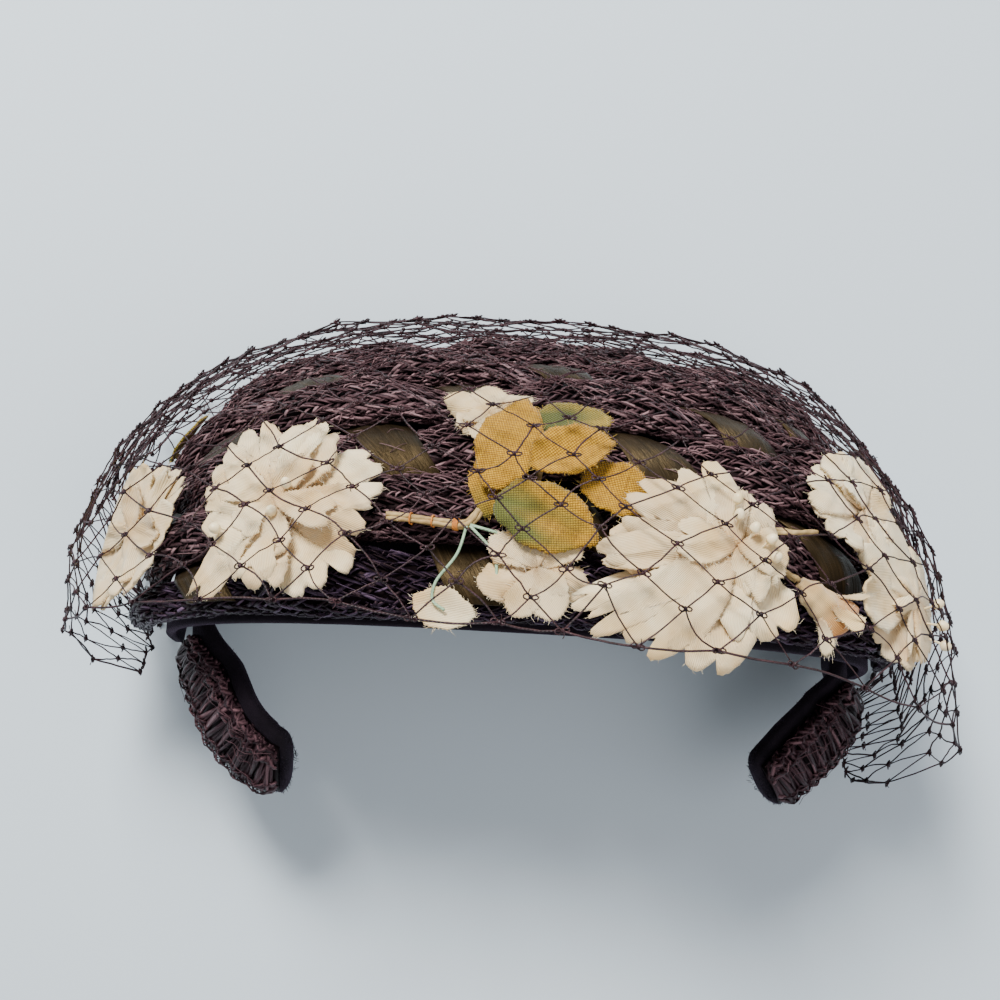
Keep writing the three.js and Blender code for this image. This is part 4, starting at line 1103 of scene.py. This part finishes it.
def curve_through(places, steps):
    places = np.array([crown(*place) for place in places])
    return np.array([spline_point(places, share) for share in np.linspace(0, 1, steps)])


def make_stem(name, places, strands):
    """A stem of several paper-wrapped wires that lie side by side and turn a little."""
    path = curve_through(places, 40)
    out = unit(path)
    tangent = unit(np.gradient(path, axis=0))
    side = unit(np.cross(tangent, out))
    parts = Parts()
    for k in range(strands):
        share = np.linspace(0, 1, 40)
        angle = 2 * math.pi * k / strands + share * 1.6 + 0.15 * np.sin(share * 9 + k)
        offset = side * (np.cos(angle) * 0.55)[:, None] + out * (np.sin(angle) * 0.45)[:, None]
        radius = 0.52 + 0.07 * np.sin(share * 23 + 2 * k)
        tube(parts, path + offset, out, radius, radius, 8, (rng.uniform(0, 3), 0))
    piece = parts.make(name + "_wrapped", "stem", STEM)
    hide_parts(name)
    return path, out, side


def make_windings(name, path, out, side, places, material):
    """Turns of thread round a stem, from rows of a share of its length and a number of turns."""
    parts = Parts()
    for share, turns in places:
        steps = int(28 * turns)
        angle = np.linspace(0, 2 * math.pi * turns, steps)
        spot = share * (len(path) - 1) + np.linspace(-0.5, 0.5, steps) * turns * 0.42
        index = np.clip(spot, 0, len(path) - 1)
        centre = np.stack([np.interp(index, np.arange(len(path)), path[:, k]) for k in range(3)], axis=-1)
        radial = np.cos(angle)[:, None] * side[len(path) // 2] + np.sin(angle)[:, None] * out[len(path) // 2]
        tube(parts, centre + radial * 1.18, radial, 0.2, 0.17, 6)
    parts.make(name, "stem", material)


def make_thread(name, places, radius, material):
    path = curve_through(places, 36)
    parts = Parts()
    tube(parts, path, unit(path), radius, radius * 0.8, 6)
    parts.make(name, "stem", material)


# A torn petal of the calyx: its angle round it, length and width
SEPALS = ((0.2, 7.5, 4.4), (1.25, 8.5, 3.8), (2.5, 6.5, 4.2), (4.0, 6.5, 4.6), (5.3, 7, 4))


def make_bud():
    """The back of a half-closed flower: a wrapped cone and the torn petals of its calyx."""
    at, side, up, outward = seat(50.5, 80.5, 11.2)
    direction = unit(side * 0.62 - up * 0.5)
    parts = Parts()
    along = np.linspace(-6, 7.2, 26)
    radius = np.interp(along, [-6, -2.5, 2, 6.5, 7.2], [1.2, 3.0, 3.5, 5.0, 4.2])
    radius = radius + 0.14 * np.sin(along * 1.7)
    angles = np.linspace(0, 2 * math.pi, 33)[:-1]
    cross = np.cross(direction, outward)
    rings = []
    for spot, wide in zip(along, radius):
        fold = wide * (1 + 0.07 * np.sin(5 * angles + spot * 0.3) + 0.03 * np.sin(11 * angles))
        around = np.cos(angles)[:, None] * cross + np.sin(angles)[:, None] * outward
        rings.append(at + direction * spot + around * (fold * 0.96)[:, None])
    uv = np.stack(np.broadcast_arrays(angles[None, :] * 3.5, along[:, None]), axis=-1).reshape(-1, 2)
    closed_sweep(parts, rings, uv, np.repeat(np.clip((along + 2) / 9, 0, 1) ** 2, 32))
    piece = parts.make("bud_calyx", "petal", CALYX)
    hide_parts("bud_right")

    sepals, frays, area = Parts(), Parts(), 0.0
    for angle, length, width in SEPALS:
        outline = petal_outline(length, width, 2, 0.02, 0.2, 56)
        area += polygon_area(outline)
        around = math.cos(angle) * cross + math.sin(angle) * outward
        aside = np.cross(direction, around)

        def place(x, y, above):
            spread = 3.6 + 0.35 * x + 0.06 * x**2
            point = at + direction * (1.5 + 0.75 * x)[:, None] + around * (spread + above)[:, None]
            return between(point + aside * y[:, None], 9.6, 19.5)

        cloth_piece(sepals, frays, outline, np.array([length / 2, 0.0]), 6, place, COTTON, 0.7,
                    lambda x, y, shares: np.clip(0.9 - x / 5, 0, 1))
    piece = sepals.make("bud_sepals", "petal", PETAL)
    fringe = frays.make("bud_fray", "petal", PALE_THREAD)


# The net veil

# The net's big form: its reach to each ear, top and front, how far it drops and tucks in at the ears,
# how square and how full it is, and the angles at which it starts and ends
VEIL = dict(right=105, left=112, top=86.5, front=88, drop_right=30, drop_left=11, tuck_right=40, tuck_left=34,
            tuck_angle=40, power=2.85, fullness=0.84, ear=9, back=1.3, front_angle=81)
NET_COLUMNS, NET_ROWS = 21, 13
# The inner fold of net over the crown: its cells, where it lies and how far inside the veil
FOLD = dict(columns=15, rows=6, first=34, last=150, back=2.5, front=43, inside=4.4)


def veil_point(arch_deg, turn_deg, out=0.0):
    arch, turn = np.radians(arch_deg), np.radians(np.clip(turn_deg, 0.3, 89.5))
    left = (1 - np.cos(arch)) / 2
    drop = mix(VEIL["drop_right"], VEIL["drop_left"], left)
    reach = mix(VEIL["right"], VEIL["left"], left) + out
    height = VEIL["top"] + drop + out
    ring = squared_radius(arch, reach, height, VEIL["power"])
    ring, across = ring * np.sin(arch), ring * np.cos(arch)
    from_ear = np.minimum(arch_deg, 180 - arch_deg)
    tuck = mix(VEIL["tuck_right"], -VEIL["tuck_left"], left)
    tuck = tuck * np.maximum(0, 1 - from_ear / VEIL["tuck_angle"]) ** 2
    forward = (VEIL["front"] + out) / height
    fold = VEIL["fullness"]
    parts = (across - tuck, ring * np.cos(turn) ** fold - drop, ring * np.sin(turn) ** fold * forward)
    return np.stack(np.broadcast_arrays(*parts), axis=-1)


def crumple(point, arch):
    """A soft, uneven shift of the net, stronger near the ears, where it is bunched."""
    x, y, z = point / 9
    shift = np.array([math.sin(2.1 * y + 1.3 * z), math.sin(1.7 * z + 1.9 * x + 1),
                      math.sin(1.9 * x + 1.2 * y + 2)])
    return shift * (0.55 + 1.5 * smooth(34 - min(arch, 180 - arch), 0, 24))


def net_spot(i, j, wander):
    """A place on the net counted in half cells along the arch and towards the front."""
    across, deep = 2 * NET_COLUMNS, 2 * NET_ROWS
    di, dj, out = wander
    arch = VEIL["ear"] + (180 - 2 * VEIL["ear"]) * (i + di) / across
    turn = mix(VEIL["back"], VEIL["front_angle"], max(0, (j + dj) / deep) ** 1.15)
    sag = 3.0 * math.sin(math.pi * min(1, turn / 54)) ** 2 * smooth(min(arch, 180 - arch), 20, 45)
    free = veil_point(arch, turn, out - sag)
    if j > 0:
        return free + crumple(free, arch)
    snug = BASE + RIBBON_ROOM + CORD_HIGH + GAP + 0.5
    return free * min(factor_to(free, snug), 1)


def fold_spot(i, j, wander):
    """A place on the fold of net that lies inside the veil, over the crown's top."""
    di, dj, out = wander
    arch = mix(FOLD["first"], FOLD["last"], (i + di) / (2 * FOLD["columns"]))
    turn = mix(FOLD["back"], FOLD["front"], max(0, (j + dj) / (2 * FOLD["rows"])) ** 1.1)
    free = veil_point(arch, turn, out - FOLD["inside"])
    free = free + crumple(free * 1.3, arch)
    return between(free, 10.1, 40.0)


def net_knots(spot, columns, rows, edge):
    """The knots of a net; those on its edges stray by the share edge."""
    across, deep, knots = 2 * columns, 2 * rows, {}
    for i in range(across + 1):
        for j in range(deep + 1):
            if (i + j) % 2:
                continue
            loose_i, loose_j = (edge if i in (0, across) else 1), (edge if j in (0, deep) else 1)
            wander = (rng.gauss(0, 0.16) * loose_i, rng.gauss(0, 0.16) * loose_j,
                      rng.gauss(0.1, 0.3) * loose_j)
            knots[i, j] = spot(i, j, wander)
    return knots


def net_thread(threads, a, b, sag, radius=NET_RADIUS):
    """A slack, slightly uneven thread between two knots."""
    out = unit((a + b) / 2)
    side = np.cross(unit(b - a), out)
    share = np.linspace(0, 1, 7)
    bow = np.sin(share * math.pi)
    bend = rng.gauss(0, 0.5)
    path = mix(a, b, share[:, None]) - out * (sag * bow)[:, None] + side * (bend * bow)[:, None]
    shake = np.array([[rng.gauss(0, 0.06) for _ in range(3)] for _ in share]) * bow[:, None]
    tube(threads, path + shake, np.tile(out, (7, 1)), radius * rng.uniform(0.9, 1.15),
         radius * rng.uniform(0.85, 1.1), 4, (rng.uniform(0, 3), rng.uniform(0, 9)))


def net_cells(threads, knots):
    for (i, j), a in knots.items():
        for way in (1, -1):
            b = knots.get((i + 1, j + way))
            if b is not None:
                net_thread(threads, a, b, rng.uniform(0.0, 0.4))


def make_veil():
    across, deep = 2 * NET_COLUMNS, 2 * NET_ROWS
    knots = net_knots(net_spot, NET_COLUMNS, NET_ROWS, 0.5)
    threads, loops = Parts(), Parts()
    net_cells(threads, knots)
    for (i, j), a in knots.items():
        if j == deep and (i + 2, j) in knots:
            net_thread(threads, a, knots[i + 2, j], rng.uniform(-0.3, 0.4), NET_EDGE_RADIUS)
        if j == 0 and (i + 2, j) in knots:
            net_thread(threads, a, knots[i + 2, j], 0.0, KNOT_RADIUS)
        if i in (0, across) and (i, j + 2) in knots:
            net_thread(threads, a, knots[i, j + 2], 0.0, NET_EDGE_RADIUS)
    for place in knots:
        make_knot(loops, knots, *place)
    net = threads.make("net_threads", "net", NET)
    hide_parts("veil")
    loops.make("net_knots", "net", NET)

    knots, inner = net_knots(fold_spot, FOLD["columns"], FOLD["rows"], 1), Parts()
    net_cells(inner, knots)
    for place in knots:
        make_knot(inner, knots, *place, looped=False)
    inner.make("net_fold", "net", NET)


def make_knot(parts, knots, i, j, looped=True):
    """A flat knot: two little loops side by side, bound by turns of the thread."""
    at = knots[i, j]
    out = unit(at)
    near = knots.get((i + 1, j + 1), knots.get((i - 1, j - 1), at + (1, 0, 0)))
    other = knots.get((i - 1, j + 1), knots.get((i + 1, j - 1), at + (0, 1, 0)))
    along = unit(np.cross(np.cross(out, near - other), out) + 1e-6)
    side = np.cross(out, along)
    angle = np.linspace(0, 2 * math.pi, 9)
    for sense in (-1, 1) if looped else ():
        wide, deep = rng.uniform(0.55, 0.85), rng.uniform(0.38, 0.6)
        middle = at + along * (0.75 * sense)
        ring = middle + along * (np.cos(angle) * wide)[:, None] + side * (np.sin(angle) * deep)[:, None]
        ring = ring + out * (0.22 * np.sin(angle + sense))[:, None]
        tube(parts, ring, np.tile(out, (9, 1)), KNOT_RADIUS, KNOT_RADIUS, 3, (rng.uniform(0, 3), 0))
    turn = np.linspace(0, rng.uniform(2.4, 3.2) * math.pi, 10)
    spread = np.linspace(-0.28, 0.28, 10)
    bind = at + along * spread[:, None] + side * (np.cos(turn) * 0.4)[:, None]
    bind = bind + out * (np.sin(turn) * 0.36)[:, None]
    tube(parts, bind, unit(bind - at), BINDING_RADIUS, BINDING_RADIUS, 3, (rng.uniform(0, 3), 0))
    if rng.random() < 0.35:
        way = unit(side * rng.choice((-1, 1)) + along * rng.gauss(0, 0.5) + out * 0.4)
        share = np.linspace(0, 1, 5)
        tail = at + way * (1.7 * share)[:, None] + along * (0.4 * np.sin(share * 3))[:, None]
        tube(parts, tail, np.tile(out, (5, 1)), 0.1, 0.1)


# Building the hat

make_cap()
for number in range(ROWS):
    make_cord(number)
for number in range(COLUMNS):
    make_ribbon(number)
for side_name, stations, start in (("right", RIGHT_ARM, 0.4), ("left", LEFT_ARM, 0.3)):
    make_arm(side_name, stations)
    make_arm_pile(side_name, stations)
    make_braid(side_name, stations, start, 9)
frames = {row[0]: make_flower(row) for row in FLOWERS}
for row in LEAVES:
    make_leaf(row)
make_leaf(LOOSE_PETAL, PETAL, "petal", COTTON, "cotton_loose")
stems = {name: make_stem(name, places, wires) for name, (wires, places) in STEMS.items()}
make_windings("winding_orange", *stems["stem_left"], [(0.56, 3.5), (0.2, 1), (0.38, 1)], ORANGE)
for name, (radius, places) in GREEN_THREADS.items():
    make_thread(f"thread_green_{name}", places, radius, GREEN)
make_bud()
for name, places in STAMENS.items():
    make_stamens(name, frames["flower_" + name], places)
make_veil()


# The floor, the camera and the light

floor_mesh = bpy.data.meshes.new("floor")
floor_mesh.from_pydata([(-3, -3, 0), (3, -3, 0), (3, 3, 0), (-3, 3, 0)], [], [(0, 1, 2, 3)])
floor = bpy.data.objects.new("floor", floor_mesh)
bpy.context.scene.collection.objects.link(floor)
floor.data.materials.append(floor_material())

# The camera looks down at the target in millimetres, and the lights at a point in metres
TARGET = (-6, 34, 45)
DISTANCE, ELEVATION, ROLL, LENS = 312, 80, 3.2, 49.45
LIGHT_AIM = Vector((0, -0.03, 0.03))


def place_camera():
    tilt = math.radians(ELEVATION)
    forward = Vector((0, math.cos(tilt), -math.sin(tilt)))
    right = Vector((1, 0, 0))
    upward = right.cross(forward)
    roll = math.radians(ROLL)
    right, upward = (right * math.cos(roll) + upward * math.sin(roll),
                     upward * math.cos(roll) - right * math.sin(roll))
    target = Vector((TARGET[0], TARGET[1] + ORIGIN_Y, TARGET[2])) / 1000
    camera_data = bpy.data.cameras.new("camera")
    camera_data.lens = LENS
    camera_data.sensor_width = 36
    camera = bpy.data.objects.new("camera", camera_data)
    turned = Matrix((right, upward, -forward)).transposed()
    camera.matrix_world = Matrix.Translation(target - forward * DISTANCE / 1000) @ turned.to_4x4()
    bpy.context.scene.collection.objects.link(camera)
    bpy.context.scene.camera = camera


def add_light(name, place, size, power, colour):
    data = bpy.data.lights.new(name, "AREA")
    data.shape = "SQUARE"
    data.size = size
    data.energy = power
    data.color = colour
    light = bpy.data.objects.new(name, data)
    light.location = place
    light.rotation_euler = (LIGHT_AIM - Vector(place)).to_track_quat("-Z", "Y").to_euler()
    bpy.context.scene.collection.objects.link(light)


place_camera()
add_light("window", (-0.35, 0.75, 0.95), 0.42, 38, (1, 0.985, 0.95))
add_light("room", (0.7, -0.5, 0.9), 1.2, 9, (0.98, 0.98, 1))
world = bpy.data.worlds.new("studio")
world.use_nodes = True
world.node_tree.nodes["Background"].inputs["Color"].default_value = (0.95, 0.97, 1, 1)
world.node_tree.nodes["Background"].inputs["Strength"].default_value = 0.38
bpy.context.scene.world = world
